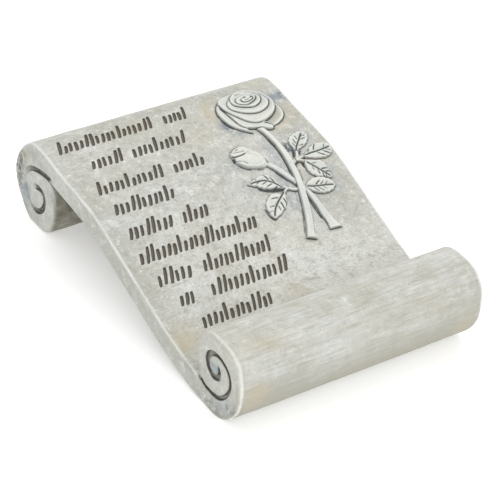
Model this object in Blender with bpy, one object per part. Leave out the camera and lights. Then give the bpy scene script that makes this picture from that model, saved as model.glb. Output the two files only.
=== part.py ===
"""A scroll grave ornament, cast in one piece.

A thick sheet slopes down from a tall roll at the back to a lower roll at the front. At the back
the sheet's end is rolled under, and at the front it is rolled up and over, so that each end face
shows a spiral. The sheet carries a rose with a bud and six leaves in low relief on its right,
and rows of shallow strokes on its left.

Metres, +Z up. X runs across the sheet, Y from front to back. The origin is on the ground, in
the middle of the whole piece.
"""

import math

import bmesh
import bpy
from mathutils import Vector
from mathutils.geometry import intersect_line_line_2d

# Overall sizes
LENGTH = 0.2013
WIDTH = 0.140
SHEET_THICKNESS = 0.0110
EDGE_CHAMFER = 0.0014

# The rolls: depth is front to back, and fullness swells or draws in each quarter of the
# oval, in the order upper back, upper front, lower front, lower back. The tuck draws a roll in
# where it nears the sheet: (by this share, from this angle, in full at this one).
FRONT_ROLL_DEPTH = 0.0361
FRONT_ROLL_HEIGHT = 0.0423
FRONT_ROLL_FULLNESS = (0.12, 0.085, -0.03, 0.0)
FRONT_ROLL_TUCK = (0.16, 20.0, -15.0)
BACK_ROLL_DEPTH = 0.0399
BACK_ROLL_HEIGHT = 0.0460
BACK_ROLL_FULLNESS = (-0.035, 0.0, 0.11, -0.07)
BACK_ROLL_TUCK = (0.24, 205.0, 140.0)
FOOT_WIDTH = 0.009
ROLL_STEP_DEG = 7.5

# The sheet's top edge from the back roll's crest to under the front roll, as
# (share of the way forward, share of the way down).
SHEET_STATIONS = (
    (0.0, 0.0), (0.060, 0.016), (0.131, 0.070), (0.248, 0.122), (0.340, 0.183),
    (0.475, 0.388), (0.613, 0.612), (0.748, 0.820), (0.877, 0.954), (1.0, 1.0),
)
SHEET_STEPS = 5
NOOK_CLEARANCE = 0.001

# The spiral groove on each end face, from the nook to its inner end, as
# (share of the roll's half depth, share of its half height) from the roll's middle
GROOVE_WIDTH = 0.0026
GROOVE_DEPTH = 0.0022
GROOVE_STEPS = 3
FRONT_GROOVE = (
    (0.82, -0.26), (0.64, -0.33), (0.35, -0.41), (0.02, -0.41), (-0.33, -0.29), (-0.55, 0.02),
    (-0.51, 0.37), (-0.20, 0.58), (0.14, 0.65), (0.42, 0.54), (0.45, 0.26), (0.24, 0.05),
    (-0.02, 0.04), (-0.08, 0.20),
)
BACK_GROOVE = (
    (-0.68, 0.44), (-0.45, 0.47), (-0.08, 0.43), (0.26, 0.33), (0.50, 0.12), (0.46, -0.12),
    (0.32, -0.33), (0.16, -0.55), (-0.06, -0.63), (-0.30, -0.57), (-0.44, -0.28),
    (-0.34, -0.07), (-0.11, 0.01), (0.01, 0.00),
)

# The rose spray: its places are (across, down) in hundredths of its length, from the rose's
# heart. Heights are above the sheet.
SPRAY_LENGTH = 0.100
SPRAY_FROM_EDGE = 0.0240
SPRAY_DOWN = 0.0120
ROSE_HEIGHT = 0.0030
STEM_HEIGHT = 0.0017
BRANCH_HEIGHT = 0.00115
BRANCH_STEP = 0.0001
LEAF_HEIGHT = 0.0012
BUD_HEIGHT = 0.0026
RELIEF_ROOT = 0.0012

# (height share, width, line) of each petal's rolled band, from the outside in
PETALS = (
    (0.38, 5.6, ((15.2, 4.5), (14.8, 9.6), (12.8, 13.6), (9.2, 17.4), (5.0, 19.8))),
    (0.45, 4.6, ((-13.6, -5.4), (-16.3, -1.6), (-17.2, 2.9), (-16.4, 7.4), (-15.0, 11.8),
                 (-13.1, 15.7), (-11.0, 19.4))),
    (0.52, 3.8, ((-12.2, 4.4), (-11.4, 9.6), (-9.8, 14.6), (-8.0, 18.6))),
    (0.50, 4.4, ((-7.6, 15.6), (-3.7, 17.4), (-0.8, 19.4), (1.8, 21.0), (4.0, 21.2))),
    (0.62, 4.6, ((-12.4, -4.4), (-8.6, -7.0), (-4.2, -8.0), (0.2, -8.2), (4.8, -7.0),
                 (8.8, -4.4), (12.0, -0.8), (13.4, 3.4))),
    (0.70, 5.4, ((-12.1, -2.8), (-13.2, 0.4), (-12.4, 4.2), (-10.4, 7.6), (-7.6, 10.6),
                 (-4.2, 12.8), (0.2, 13.6), (5.0, 12.7), (9.4, 9.9), (12.2, 5.6),
                 (12.3, 1.0))),
    (0.84, 3.8, ((-5.8, -4.2), (-8.6, -1.8), (-9.5, 1.2), (-8.6, 4.2), (-5.8, 6.6), (-2.2, 8.0),
                 (2.0, 8.0), (6.0, 6.4), (8.9, 3.6), (9.4, 0.6), (7.4, -2.2), (3.6, -4.0),
                 (-1.0, -4.6))),
    (0.94, 3.0, ((-3.4, -2.2), (-5.6, -0.6), (-5.4, 1.9), (-3.0, 4.1), (0.6, 4.9), (3.8, 3.8),
                 (6.0, 1.8), (5.2, -0.5), (2.2, -1.9))),
    (1.00, 2.4, ((-2.6, 0.6), (-0.6, 1.9), (1.8, 1.2), (2.6, 0.2))),
)
ROSE_BED = (0.0, 3.6, 14.6, 12.6)
ROSE_BED_HEIGHT = 0.42

# (width at the top, width at the cut end, line) of the two stems, then of the branches
MAIN_STEM = (4.0, 5.6, ((-5.2, 19.0), (-4.2, 27.0), (-3.8, 36.0), (-4.2, 44.0), (-5.2, 54.0),
                        (-7.2, 62.5), (-10.8, 72.6), (-15.4, 83.0), (-18.8, 91.0)))
BUD_STEM = (3.0, 5.8, ((-17.6, 43.2), (-14.0, 49.6), (-9.6, 57.0), (-6.0, 64.2), (-4.4, 72.0),
                       (-3.6, 80.0), (-3.6, 89.4)))
BRANCHES = (
    (2.6, 2.0, ((-4.8, 51.0), (-2.6, 48.0), (0.8, 45.8), (3.8, 45.2))),
    (2.0, 1.6, ((0.6, 46.0), (2.4, 44.0), (4.2, 41.6))),
    (2.0, 1.6, ((1.0, 46.0), (3.6, 47.4), (4.8, 50.4))),
    (2.6, 2.0, ((-7.2, 62.6), (-11.6, 61.4), (-15.4, 59.4), (-17.4, 57.4))),
    (2.0, 1.6, ((-14.6, 60.0), (-17.0, 61.2), (-19.6, 62.8))),
    (2.4, 1.8, ((-5.6, 61.6), (-4.2, 62.4), (-2.0, 63.0))),
)

# (base, tip, width) of each leaf
LEAVES = (
    ((2.6, 42.4), (14.4, 30.0), 11.2),
    ((3.6, 45.8), (23.8, 44.0), 10.6),
    ((2.8, 48.8), (12.8, 62.8), 9.8),
    ((-4.0, 62.6), (12.2, 65.6), 10.0),
    ((-16.2, 58.6), (-32.6, 52.0), 9.6),
    ((-16.4, 61.0), (-30.6, 74.8), 10.4),
)
LEAF_ROWS = 9
BUD = ((-16.6, 44.0), (-29.8, 29.0), 15.0)
BUD_FOLD = ((0.97, -0.16), (0.84, -0.20), (0.70, -0.02), (0.66, 0.22), (0.72, 0.42))
BUD_STEPS = 10

# The rows of strokes: (down the sheet, ((from, to) of each group of strokes)), from the
# sheet's centre line, in metres
STROKE_ROWS = (
    (0.0100, ((-0.0620, -0.0070), (-0.0010, 0.0130))),
    (0.0255, ((-0.0520, -0.0330), (-0.0285, 0.0030))),
    (0.0435, ((-0.0590, -0.0210), (-0.0155, 0.0025))),
    (0.0585, ((-0.0585, -0.0240),)),
    (0.0735, ((-0.0590, -0.0335), (-0.0285, -0.0130))),
    (0.0880, ((-0.0610, 0.0065),)),
    (0.1020, ((-0.0590, -0.0395), (-0.0335, 0.0060))),
    (0.1155, ((-0.0545, -0.0460), (-0.0365, 0.0080))),
    (0.1300, ((-0.0505, -0.0100),)),
)
STROKE_PITCH = 0.0047
STROKE_HEIGHT = 0.0052
TALL_STROKE_HEIGHT = 0.0080
STROKE_WIDTH = 0.0014
STROKE_DEPTH = 0.0008
STROKE_SLANT = 0.38


def clear_scene():
    for obj in list(bpy.data.objects):
        bpy.data.objects.remove(obj, do_unlink=True)


def stone_material():
    """Pale cast stone with a warm grey-green wash."""
    stone = bpy.data.materials.new("cast_stone")
    stone.use_nodes = True
    surface = stone.node_tree.nodes["Principled BSDF"]
    surface.inputs["Base Color"].default_value = (0.60, 0.61, 0.56, 1.0)
    surface.inputs["Roughness"].default_value = 0.85
    surface.inputs["Metallic"].default_value = 0.0
    return stone


def smooth_line(points, steps):
    """A smooth line through the points, with the given steps between two of them."""
    points = [Vector(p) for p in points]
    ends = [2 * points[0] - points[1]] + points + [2 * points[-1] - points[-2]]
    line = []
    for a, b, c, d in zip(ends, ends[1:], ends[2:], ends[3:]):
        for k in range(steps):
            t = k / steps
            line.append(0.5 * (2 * b + (c - a) * t + (2 * a - 5 * b + 4 * c - d) * t ** 2
                               + (3 * b - a - 3 * c + d) * t ** 3))
    line.append(points[-1])
    return line


def eased(t):
    t = min(1.0, max(0.0, t))
    return t * t * (3.0 - 2.0 * t)


class Roll:
    """One roll of the sheet, an oval seen from the end, in (y, z)."""

    def __init__(self, middle_y, depth, height, fullness, tuck):
        self.half_depth = depth / 2
        self.fullness = fullness
        self.tuck = tuck
        sag = 1.0 - math.sqrt(1.0 - (FOOT_WIDTH / depth) ** 2)
        self.half_height = height / (2.0 - sag)
        self.middle = Vector((middle_y, height - self.half_height))

    def at(self, degrees):
        """A point on the outline: 0 is the back, 90 the crest, 180 the front."""
        turn = math.radians(degrees)
        quarter = int(degrees % 360.0 // 90.0)
        by, start, full = self.tuck
        reach = 1.0 + self.fullness[quarter] * math.sin(2.0 * turn) ** 2
        reach -= by * eased((start - degrees) / (start - full))
        return self.inside(reach * math.cos(turn), reach * math.sin(turn))

    def inside(self, across, up):
        """A point at these shares of the half depth and the half height from the middle."""
        return self.middle + Vector((self.half_depth * across, self.half_height * up))

    def outline(self, first, last):
        """Points from the first to the last angle, flattened where they meet the ground."""
        count = max(2, round(abs(last - first) / ROLL_STEP_DEG))
        points = [self.at(first + (last - first) * k / count) for k in range(count + 1)]
        return [Vector((p.x, max(p.y, 0.0))) for p in points]


FRONT_ROLL = Roll(-LENGTH / 2 + FRONT_ROLL_DEPTH / 2, FRONT_ROLL_DEPTH, FRONT_ROLL_HEIGHT,
                  FRONT_ROLL_FULLNESS, FRONT_ROLL_TUCK)
BACK_ROLL = Roll(LENGTH / 2 - BACK_ROLL_DEPTH / 2, BACK_ROLL_DEPTH, BACK_ROLL_HEIGHT,
                 BACK_ROLL_FULLNESS, BACK_ROLL_TUCK)


def sheet_top():
    """The sheet's upper edge in (y, z), from the back roll's crest to under the front roll."""
    crest = Vector((BACK_ROLL.middle.x, BACK_ROLL_HEIGHT))
    foot = Vector((FRONT_ROLL.middle.x, SHEET_THICKNESS))
    stations = [Vector((crest.x + (foot.x - crest.x) * way, crest.y + (foot.y - crest.y) * fall))
                for way, fall in SHEET_STATIONS]
    return smooth_line(stations, SHEET_STEPS)


def normals_of(line):
    """The upward normal at each point of a line that runs from back to front."""
    normals = []
    for k in range(len(line)):
        along = line[min(k + 1, len(line) - 1)] - line[max(k - 1, 0)]
        normals.append(Vector((along.y, -along.x)).normalized())
    return normals


def sheet_underside(top):
    """The sheet's lower edge, its thickness below the upper one, from front to back."""
    lower = [p - n * SHEET_THICKNESS for p, n in zip(top, normals_of(top))]
    return [Vector((p.x, max(p.y, 0.0))) for p in reversed(lower)]


def meet(first, second):
    """Where the first line crosses the second: (steps along each, the point)."""
    for i in range(len(first) - 1):
        for j in range(len(second) - 1):
            point = intersect_line_line_2d(first[i], first[i + 1], second[j], second[j + 1])
            if point is not None:
                return i, j, point
    raise ValueError("the sheet misses a roll")


def end_outline():
    """The closed outline of the end face in (y, z)."""
    top = sheet_top()
    under = sheet_underside(top)
    front = FRONT_ROLL.outline(-80.0, 270.0)
    back = BACK_ROLL.outline(120.0, 450.0)
    i, j, front_nook = meet(top[len(top) // 2:], front)
    i += len(top) // 2
    k, m, back_nook = meet(under[len(under) // 2:], back)
    k += len(under) // 2
    loop = top[:i + 1] + [front_nook] + front[j + 1:] + under[1:k + 1] + [back_nook] + back[m + 1:-1]
    return tidy_loop(loop, (front_nook, back_nook))


def tidy_loop(loop, nooks):
    """The loop without points too near a nook, or on a straight line along the ground."""
    kept = [p for p in loop
            if all(p == nook or (p - nook).length > NOOK_CLEARANCE for nook in nooks)]
    bent = []
    for k, point in enumerate(kept):
        before = point - kept[k - 1]
        after = kept[(k + 1) % len(kept)] - point
        if abs(before.cross(after)) > 1e-10 or point.y > 1e-6:
            bent.append(point)
    return bent


class SheetFace:
    """The face that carries the relief: places on it are (across, down from the crest, out)."""

    def __init__(self):
        behind = BACK_ROLL.outline(380.0, 450.0)
        top = sheet_top()
        self.line = behind[:-1] + top
        self.normals = normals_of(self.line)
        down = 0.0
        downs = [0.0]
        for a, b in zip(self.line, self.line[1:]):
            down += (b - a).length
            downs.append(down)
        crest = downs[len(behind) - 1]
        self.downs = [d - crest for d in downs]

    def at(self, across, down, out):
        k = 0
        while k < len(self.downs) - 2 and self.downs[k + 1] < down:
            k += 1
        t = (down - self.downs[k]) / (self.downs[k + 1] - self.downs[k])
        point = self.line[k].lerp(self.line[k + 1], t)
        normal = self.normals[k].lerp(self.normals[k + 1], t).normalized()
        point = point + normal * out
        return Vector((across, point.x, point.y))


SHEET_FACE = SheetFace()


def on_spray(across, down, out):
    """A point of the rose spray, given in hundredths of its length from the rose's heart."""
    unit = SPRAY_LENGTH / 100.0
    return SHEET_FACE.at(WIDTH / 2 - SPRAY_FROM_EDGE + across * unit,
                         SPRAY_DOWN + down * unit, out)


def new_object(name, mesh, helper=False):
    obj = bpy.data.objects.new(name, mesh)
    bpy.context.scene.collection.objects.link(obj)
    if helper:
        obj.hide_render = True
        obj.display_type = "WIRE"
    return obj


def mesh_of_rings(name, rings):
    """A closed body skinned over rings of points, with a flat cap at each end."""
    bm = bmesh.new()
    skins = [[bm.verts.new(p) for p in ring] for ring in rings]
    for a, b in zip(skins, skins[1:]):
        for k in range(len(a)):
            bm.faces.new((a[k - 1], a[k], b[k], b[k - 1]))
    bm.faces.new(skins[0])
    bm.faces.new(reversed(skins[-1]))
    bmesh.ops.recalc_face_normals(bm, faces=bm.faces)
    mesh = bpy.data.meshes.new(name)
    bm.to_mesh(mesh)
    bm.free()
    return mesh


def band(name, points, widths, height, steps=2, sides=4):
    """A rounded band of the relief along a line, with tapered ends if widths fall to a little."""
    line = smooth_line(points, steps)
    rings = []
    for k, point in enumerate(line):
        along = line[min(k + 1, len(line) - 1)] - line[max(k - 1, 0)]
        side = Vector((-along.y, along.x)).normalized()
        half = widths(k / (len(line) - 1)) / 2
        ring = []
        for j in range(sides + 1):
            turn = math.pi * j / sides
            place = point + side * half * math.cos(turn)
            out = height * (0.35 + 0.65 * math.sin(turn))
            ring.append(on_spray(place.x, place.y, out))
        for way in (-1.0, 1.0):
            place = point + side * half * way
            ring.append(on_spray(place.x, place.y, -RELIEF_ROOT))
        rings.append(ring)
    return new_object(name, mesh_of_rings(name, rings), helper=True)


def petal(name, share, width, points):
    def tapered(t):
        return width * (0.45 + 0.55 * math.sin(math.pi * t) ** 0.6)
    return band(name, points, tapered, ROSE_HEIGHT * share)


def stem(name, first, last, points, height):
    def growing(t):
        return first + (last - first) * t ** 1.5
    return band(name, points, growing, height)


def mound(name, outline, heart, height, crown):
    """A closed low mound: its rim stands a little out of the sheet, its middle highest."""
    rings = [[on_spray(*p, -RELIEF_ROOT) for p in outline]]
    for share, out in crown:
        rings.append([on_spray(heart[0] + (p[0] - heart[0]) * share,
                               heart[1] + (p[1] - heart[1]) * share, height * out)
                      for p in outline])
    return new_object(name, mesh_of_rings(name, rings), helper=True)


def rose_bed():
    """The low dome that the petals stand on."""
    across, down, half_across, half_down = ROSE_BED
    turns = [2 * math.pi * k / 20 for k in range(20)]
    outline = [(across + half_across * math.cos(t), down + half_down * math.sin(t))
               for t in turns]
    return mound("rose_bed", outline, (across, down), ROSE_HEIGHT * ROSE_BED_HEIGHT,
                 ((1.0, 0.3), (0.8, 0.8), (0.4, 1.0)))


def leaf(name, base, tip, width):
    """A pointed oval leaf, sunk along its midrib."""
    base, tip = Vector(base), Vector(tip)
    side = Vector((base.y - tip.y, tip.x - base.x)).normalized()
    rings = []
    for k in range(LEAF_ROWS):
        t = k / (LEAF_ROWS - 1)
        half = width / 2 * (math.sin(math.pi * t ** 0.9) ** 0.65 + 0.05)
        crown = 0.75 + 0.25 * math.sin(math.pi * t)
        middle = base.lerp(tip, t)
        ring = []
        for way, out in ((-1.0, 0.4), (-0.5, crown), (0.0, 0.5), (0.5, crown), (1.0, 0.4)):
            place = middle + side * half * way
            ring.append(on_spray(place.x, place.y, LEAF_HEIGHT * out))
        for way in (1.0, -1.0):
            place = middle + side * half * way
            ring.append(on_spray(place.x, place.y, -RELIEF_ROOT))
        rings.append(ring)
    return new_object(name, mesh_of_rings(name, rings), helper=True)


def bud():
    """The closed bud, with one petal's edge wrapped across it."""
    base, tip, width = Vector(BUD[0]), Vector(BUD[1]), BUD[2]
    axis = tip - base
    side = Vector((-axis.y, axis.x)).normalized()
    outline = []
    for way in (1.0, -1.0):
        for k in range(BUD_STEPS):
            t = k / BUD_STEPS if way > 0 else 1.0 - k / BUD_STEPS
            half = width / 2 * (math.sin(math.pi * t) ** 0.7 + 0.06)
            outline.append(base + axis * t + side * half * way)
    heart = base + axis * 0.5
    body = mound("bud_body", outline, heart, BUD_HEIGHT, ((1.0, 0.35), (0.86, 0.75), (0.5, 1.0)))
    fold = [base + axis * t + side * width * w for t, w in BUD_FOLD]
    edge = band("bud_fold", fold, lambda t: 2.4, BUD_HEIGHT * 1.1)
    return [body, edge]


def groove(name, roll, points, end):
    """The cutter of a spiral groove, from the nook beside the roll to its inner end."""
    line = smooth_line([roll.inside(*p) for p in points], GROOVE_STEPS)
    rings = []
    for k, centre in enumerate(line):
        along = line[min(k + 1, len(line) - 1)] - line[max(k - 1, 0)]
        out = Vector((along.y, -along.x)).normalized()
        half = GROOVE_WIDTH / 2 * (1.0 - 0.3 * k / len(line))
        ring = []
        for across, deep in ((1.0, -0.6), (1.0, 0.0), (0.45, 1.0), (-0.45, 1.0), (-1.0, 0.0),
                             (-1.0, -0.6)):
            place = centre + out * half * across
            ring.append(Vector((end * (WIDTH / 2 - deep * GROOVE_DEPTH), place.x, place.y)))
        rings.append(ring)
    return new_object(name, mesh_of_rings(name, rings), helper=True)


def strokes():
    """The cutters of the shallow slanted strokes, row by row, joined into one helper."""
    bm = bmesh.new()
    lean = Vector((STROKE_SLANT, -1.0))
    half = Vector((STROKE_WIDTH / 2, 0.0))
    for down, groups in STROKE_ROWS:
        for first, last in groups:
            count = max(1, round((last - first) / STROKE_PITCH))
            for k in range(count):
                foot = Vector((first + (last - first) * k / count, down))
                head = foot + lean * (TALL_STROKE_HEIGHT if k % 4 == 0 else STROKE_HEIGHT)
                corners = (foot - half, foot + half, head + half, head - half)
                lower = [bm.verts.new(SHEET_FACE.at(p.x, p.y, -STROKE_DEPTH)) for p in corners]
                upper = [bm.verts.new(SHEET_FACE.at(p.x, p.y, STROKE_DEPTH)) for p in corners]
                for j in range(4):
                    bm.faces.new((lower[j - 1], lower[j], upper[j], upper[j - 1]))
                bm.faces.new(lower)
                bm.faces.new(reversed(upper))
    bmesh.ops.recalc_face_normals(bm, faces=bm.faces)
    mesh = bpy.data.meshes.new("strokes")
    bm.to_mesh(mesh)
    bm.free()
    return new_object("strokes", mesh, helper=True)


def inset(loop, by):
    """The loop drawn in a little all round."""
    drawn = []
    for k, point in enumerate(loop):
        along = (loop[(k + 1) % len(loop)] - loop[k - 1]).normalized()
        drawn.append(point + Vector((-along.y, along.x)) * by)
    return drawn


def scroll_body():
    """The rolled sheet itself, the end outline carried across the width."""
    outline = end_outline()
    drawn = inset(outline, EDGE_CHAMFER)
    half = WIDTH / 2
    rings = [[Vector((across, p.x, p.y)) for p in loop]
             for across, loop in ((-half, drawn), (EDGE_CHAMFER - half, outline),
                                  (half - EDGE_CHAMFER, outline), (half, drawn))]
    mesh = mesh_of_rings("scroll_ornament", rings)
    return new_object("scroll_ornament", mesh)


def boolean(obj, name, operation, helpers):
    group = bpy.data.collections.new(name)
    for helper in helpers:
        group.objects.link(helper)
    modifier = obj.modifiers.new(name, "BOOLEAN")
    modifier.operation = operation
    modifier.operand_type = "COLLECTION"
    modifier.collection = group
    modifier.solver = "EXACT"


def rose_spray():
    """Every piece of the relief."""
    pieces = [rose_bed()]
    for k, (share, width, points) in enumerate(PETALS):
        pieces.append(petal(f"petal_{k}", share, width, points))
    pieces.append(stem("main_stem", *MAIN_STEM, STEM_HEIGHT))
    pieces.append(stem("bud_stem", *BUD_STEM, STEM_HEIGHT * 0.85))
    for k, branch in enumerate(BRANCHES):
        pieces.append(stem(f"branch_{k}", *branch, BRANCH_HEIGHT - BRANCH_STEP * (k % 3)))
    for k, place in enumerate(LEAVES):
        pieces.append(leaf(f"leaf_{k}", *place))
    return pieces + bud()


def main():
    clear_scene()
    scroll = scroll_body()
    scroll.data.materials.append(stone_material())
    boolean(scroll, "relief", "UNION", rose_spray())
    grooves = []
    for end, place in ((-1.0, "left"), (1.0, "right")):
        grooves.append(groove(f"front_groove_{place}", FRONT_ROLL, FRONT_GROOVE, end))
        grooves.append(groove(f"back_groove_{place}", BACK_ROLL, BACK_GROOVE, end))
    boolean(scroll, "carving", "DIFFERENCE", grooves + [strokes()])
    scroll.data.shade_smooth()
    scroll.data.set_sharp_from_angle(angle=math.radians(35.0))


main()
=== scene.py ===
# %% [markdown]
# # A scroll grave ornament in cast stone
#
# The real thing is one solid casting, about as long as a hand: a thick sheet that slopes down
# between two rolls, with a rose in low relief and rows of shallow strokes. The imported model
# holds its form and its size. This script gives it its skin: the fine carving, the worn edges
# and the finish that the caster rubbed into the stone, with some light and shade painted in.
#
# The first lines load that model as a fixed frame.

# %% Load the frame
import math

import bpy
import numpy as np
from mathutils import Matrix, Vector, noise
from mathutils.geometry import delaunay_2d_cdt, intersect_line_line_2d
from mathutils.kdtree import KDTree


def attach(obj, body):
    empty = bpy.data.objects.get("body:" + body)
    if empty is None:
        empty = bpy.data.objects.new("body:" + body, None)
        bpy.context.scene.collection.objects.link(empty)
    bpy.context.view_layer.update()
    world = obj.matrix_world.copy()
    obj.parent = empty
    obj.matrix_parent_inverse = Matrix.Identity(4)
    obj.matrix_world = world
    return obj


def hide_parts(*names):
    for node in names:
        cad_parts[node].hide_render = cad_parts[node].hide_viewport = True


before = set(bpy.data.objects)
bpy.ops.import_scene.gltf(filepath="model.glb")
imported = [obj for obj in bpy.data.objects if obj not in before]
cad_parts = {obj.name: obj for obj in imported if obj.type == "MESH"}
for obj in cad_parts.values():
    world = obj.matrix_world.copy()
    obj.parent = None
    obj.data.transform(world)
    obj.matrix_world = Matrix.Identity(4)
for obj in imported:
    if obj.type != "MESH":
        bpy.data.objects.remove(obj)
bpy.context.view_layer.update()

# %% [markdown]
# ## The camera
#
# A photograph of a small object is taken from well back with a long lens, so that its parallel
# edges stay nearly parallel. The camera here stands a little over a metre away with a 154 mm
# lens, looks down at about 37 degrees from the left of the front, and is tipped by 7 degrees,
# because the piece stands a little crooked in its picture.

# %% Camera
def placed(name, data):
    """A new object of that name in the scene."""
    thing = bpy.data.objects.new(name, data)
    bpy.context.scene.collection.objects.link(thing)
    return thing


def camera_at(place, heading, down, tip, lens):
    """A camera that looks along a heading from +Y towards +X, tilted down and tipped."""
    heading, down, tip = (math.radians(a) for a in (heading, down, tip))
    ahead = Vector((math.sin(heading) * math.cos(down), math.cos(heading) * math.cos(down),
                    -math.sin(down)))
    right = Vector((math.cos(heading), -math.sin(heading), 0.0))
    up = right.cross(ahead)
    tipped_right = right * math.cos(tip) + up * math.sin(tip)
    tipped_up = up * math.cos(tip) - right * math.sin(tip)
    camera = placed("camera", bpy.data.cameras.new("camera"))
    camera.matrix_world = Matrix.Translation(place) @ Matrix(
        (tipped_right, tipped_up, -ahead)).transposed().to_4x4()
    camera.data.lens = lens
    camera.data.sensor_width = 36.0
    bpy.context.scene.camera = camera
    return camera


camera = camera_at((-0.518907, -0.661054, 0.641334), heading=38.437, down=36.734, tip=6.898,
                   lens=154.16)
print("camera lens", round(camera.data.lens, 1), "mm")

# %% [markdown]
# ## The outline of the end face
#
# Everything on this piece hangs on one closed outline, the shape that a saw would show if it
# cut the casting across. Two ovals make the rolls and a smooth line makes the sheet's top.
# They are the same curves as in the solid model, only taken in much finer steps. From here on
# the shapes are worked out in millimetres.

# %% Sizes of the real thing
MM = 0.001
FAR = 1e9
LENGTH, WIDTH, THICKNESS = 201.3, 140.0, 11.0
FRONT_DEPTH, FRONT_HEIGHT = 36.1, 42.3
BACK_DEPTH, BACK_HEIGHT = 39.9, 46.0
FOOT_WIDTH = 9.0
SHEET_STATIONS = (
    (0.0, 0.0), (0.060, 0.016), (0.131, 0.070), (0.248, 0.122), (0.340, 0.183),
    (0.475, 0.388), (0.613, 0.612), (0.748, 0.820), (0.877, 0.954), (1.0, 1.0),
)
print("the sheet falls from", BACK_HEIGHT, "to", THICKNESS, "mm")


# %% Lines and rolls
def eased(t):
    """0 to 1 with soft ends."""
    t = np.clip(t, 0.0, 1.0)
    return t * t * (3.0 - 2.0 * t)


def smooth_line(points, steps, closed=False):
    """A smooth line through points, pairs or plain numbers, with so many steps between two."""
    points = np.reshape(points, (-1, 2)).astype(float)
    if closed:
        ends = np.vstack((points[-1:], points, points[:2]))
    else:
        ends = np.vstack((2 * points[0] - points[1], points, 2 * points[-1] - points[-2]))
    line = []
    for a, b, c, d in zip(ends, ends[1:], ends[2:], ends[3:]):
        for t in np.arange(steps) / steps:
            line.append(0.5 * (2 * b + (c - a) * t + (2 * a - 5 * b + 4 * c - d) * t ** 2
                               + (3 * b - a - 3 * c + d) * t ** 3))
    line.append(points[0] if closed else points[-1])
    return np.array(line)


class Roll:
    """One roll of the sheet, an oval seen from the end."""

    def __init__(self, middle, depth, height, fullness, tuck):
        self.half_depth = depth / 2
        self.fullness, self.tuck = fullness, tuck
        sag = 1.0 - math.sqrt(1.0 - (FOOT_WIDTH / depth) ** 2)
        self.half_height = height / (2.0 - sag)
        self.middle = np.array((middle, height - self.half_height))

    def inside(self, place):
        """A place given in shares of the half depth and the half height from the middle."""
        return self.middle + np.array(place) * (self.half_depth, self.half_height)

    def outline(self, first, last):
        """Points from the first to the last angle: 0 is the back, 90 the crest, 180 the front."""
        line = []
        for degrees in np.linspace(first, last, round(abs(last - first) / 1.25) + 1):
            turn = math.radians(degrees)
            by, start, full = self.tuck
            reach = 1.0 + self.fullness[int(degrees % 360 // 90)] * math.sin(2 * turn) ** 2
            reach -= by * eased((start - degrees) / (start - full))
            line.append(self.inside((reach * math.cos(turn), reach * math.sin(turn))))
        return np.maximum(line, (-FAR, 0.0))


FRONT_ROLL = Roll(-LENGTH / 2 + FRONT_DEPTH / 2, FRONT_DEPTH, FRONT_HEIGHT,
                  (0.12, 0.085, -0.03, 0.0), (0.16, 20.0, -15.0))
BACK_ROLL = Roll(LENGTH / 2 - BACK_DEPTH / 2, BACK_DEPTH, BACK_HEIGHT,
                 (-0.035, 0.0, 0.11, -0.07), (0.24, 205.0, 140.0))
print("roll middles", FRONT_ROLL.middle.round(2), BACK_ROLL.middle.round(2))


# %% One closed outline
def normals_of(line, closed=False):
    """The outward normal at each point of a line that keeps the stone on its left."""
    if closed:
        along = np.roll(line, -1, axis=0) - np.roll(line, 1, axis=0)
    else:
        along = np.gradient(line, axis=0)
    along /= np.linalg.norm(along, axis=1)[:, None]
    return np.column_stack((along[:, 1], -along[:, 0]))


def meet(first, second):
    """Where the first line crosses the second: (steps along each, the point)."""
    for i in range(len(first) - 1):
        for j in range(len(second) - 1):
            point = intersect_line_line_2d(first[i], first[i + 1], second[j], second[j + 1])
            if point is not None:
                return i, j, np.array(point)
    raise ValueError("the sheet misses a roll")


def sheet_top():
    """The sheet's upper edge, from the back roll's crest to under the front roll."""
    crest = np.array((BACK_ROLL.middle[0], BACK_HEIGHT))
    foot = np.array((FRONT_ROLL.middle[0], THICKNESS))
    return smooth_line([crest + (foot - crest) * station for station in SHEET_STATIONS], 24)


def outline_parts():
    """The outline in four runs of points: back roll, sheet top, front roll, underside."""
    top = sheet_top()
    lower = np.maximum((top - normals_of(top) * THICKNESS)[::-1], (-FAR, 0.0))
    front = FRONT_ROLL.outline(-80.0, 270.0)
    back = BACK_ROLL.outline(120.0, 450.0)
    half = len(top) // 2
    i, j, front_nook = meet(top[half:], front)
    k, m, back_nook = meet(lower[half:], back)
    return (np.vstack((back_nook, back[m + 1:-1], top[:1])),
            np.vstack((top[:half + i + 1], front_nook)),
            np.vstack((front_nook, front[j + 1:])),
            np.vstack((front[-1:], lower[1:half + k + 1], back_nook)))


def step_lengths(line):
    """The lengths of the steps from each point of a line to the next."""
    return np.linalg.norm(np.diff(line, axis=0), axis=1)


PARTS = outline_parts()
for name, part in zip(("back roll", "sheet top", "front roll", "underside"), PARTS):
    print(name, round(step_lengths(part).sum(), 1), "mm")

# %% [markdown]
# ## Rows and columns
#
# The skin is one closed net of faces wrapped round that outline: rows run across the piece and
# columns run round it. A net with steps of one to three millimetres holds the plain form.
# Towards the two ends it draws in along a quarter circle, which rounds the edges: a little over
# 2 mm on the front roll, where the stone is handled most, and about 1 mm along the sheet.

# %% Rows round the outline
FIELD_FROM, FIELD_TO = -5.0, 136.0
ROW_STEPS = {"back roll": 1.5, "sheet": 1.15, "foot of sheet": 1.1, "front roll": 1.3,
             "underside": 3.2}


def walk(line, first, last, step):
    """Points at even steps along a line, between two lengths along it."""
    lengths = np.concatenate(([0.0], np.cumsum(step_lengths(line))))
    last = lengths[-1] if last is None else last
    places = np.linspace(first, last, max(1, round((last - first) / step)) + 1)
    return np.column_stack([np.interp(places, lengths, line[:, k]) for k in (0, 1)]), places


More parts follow.
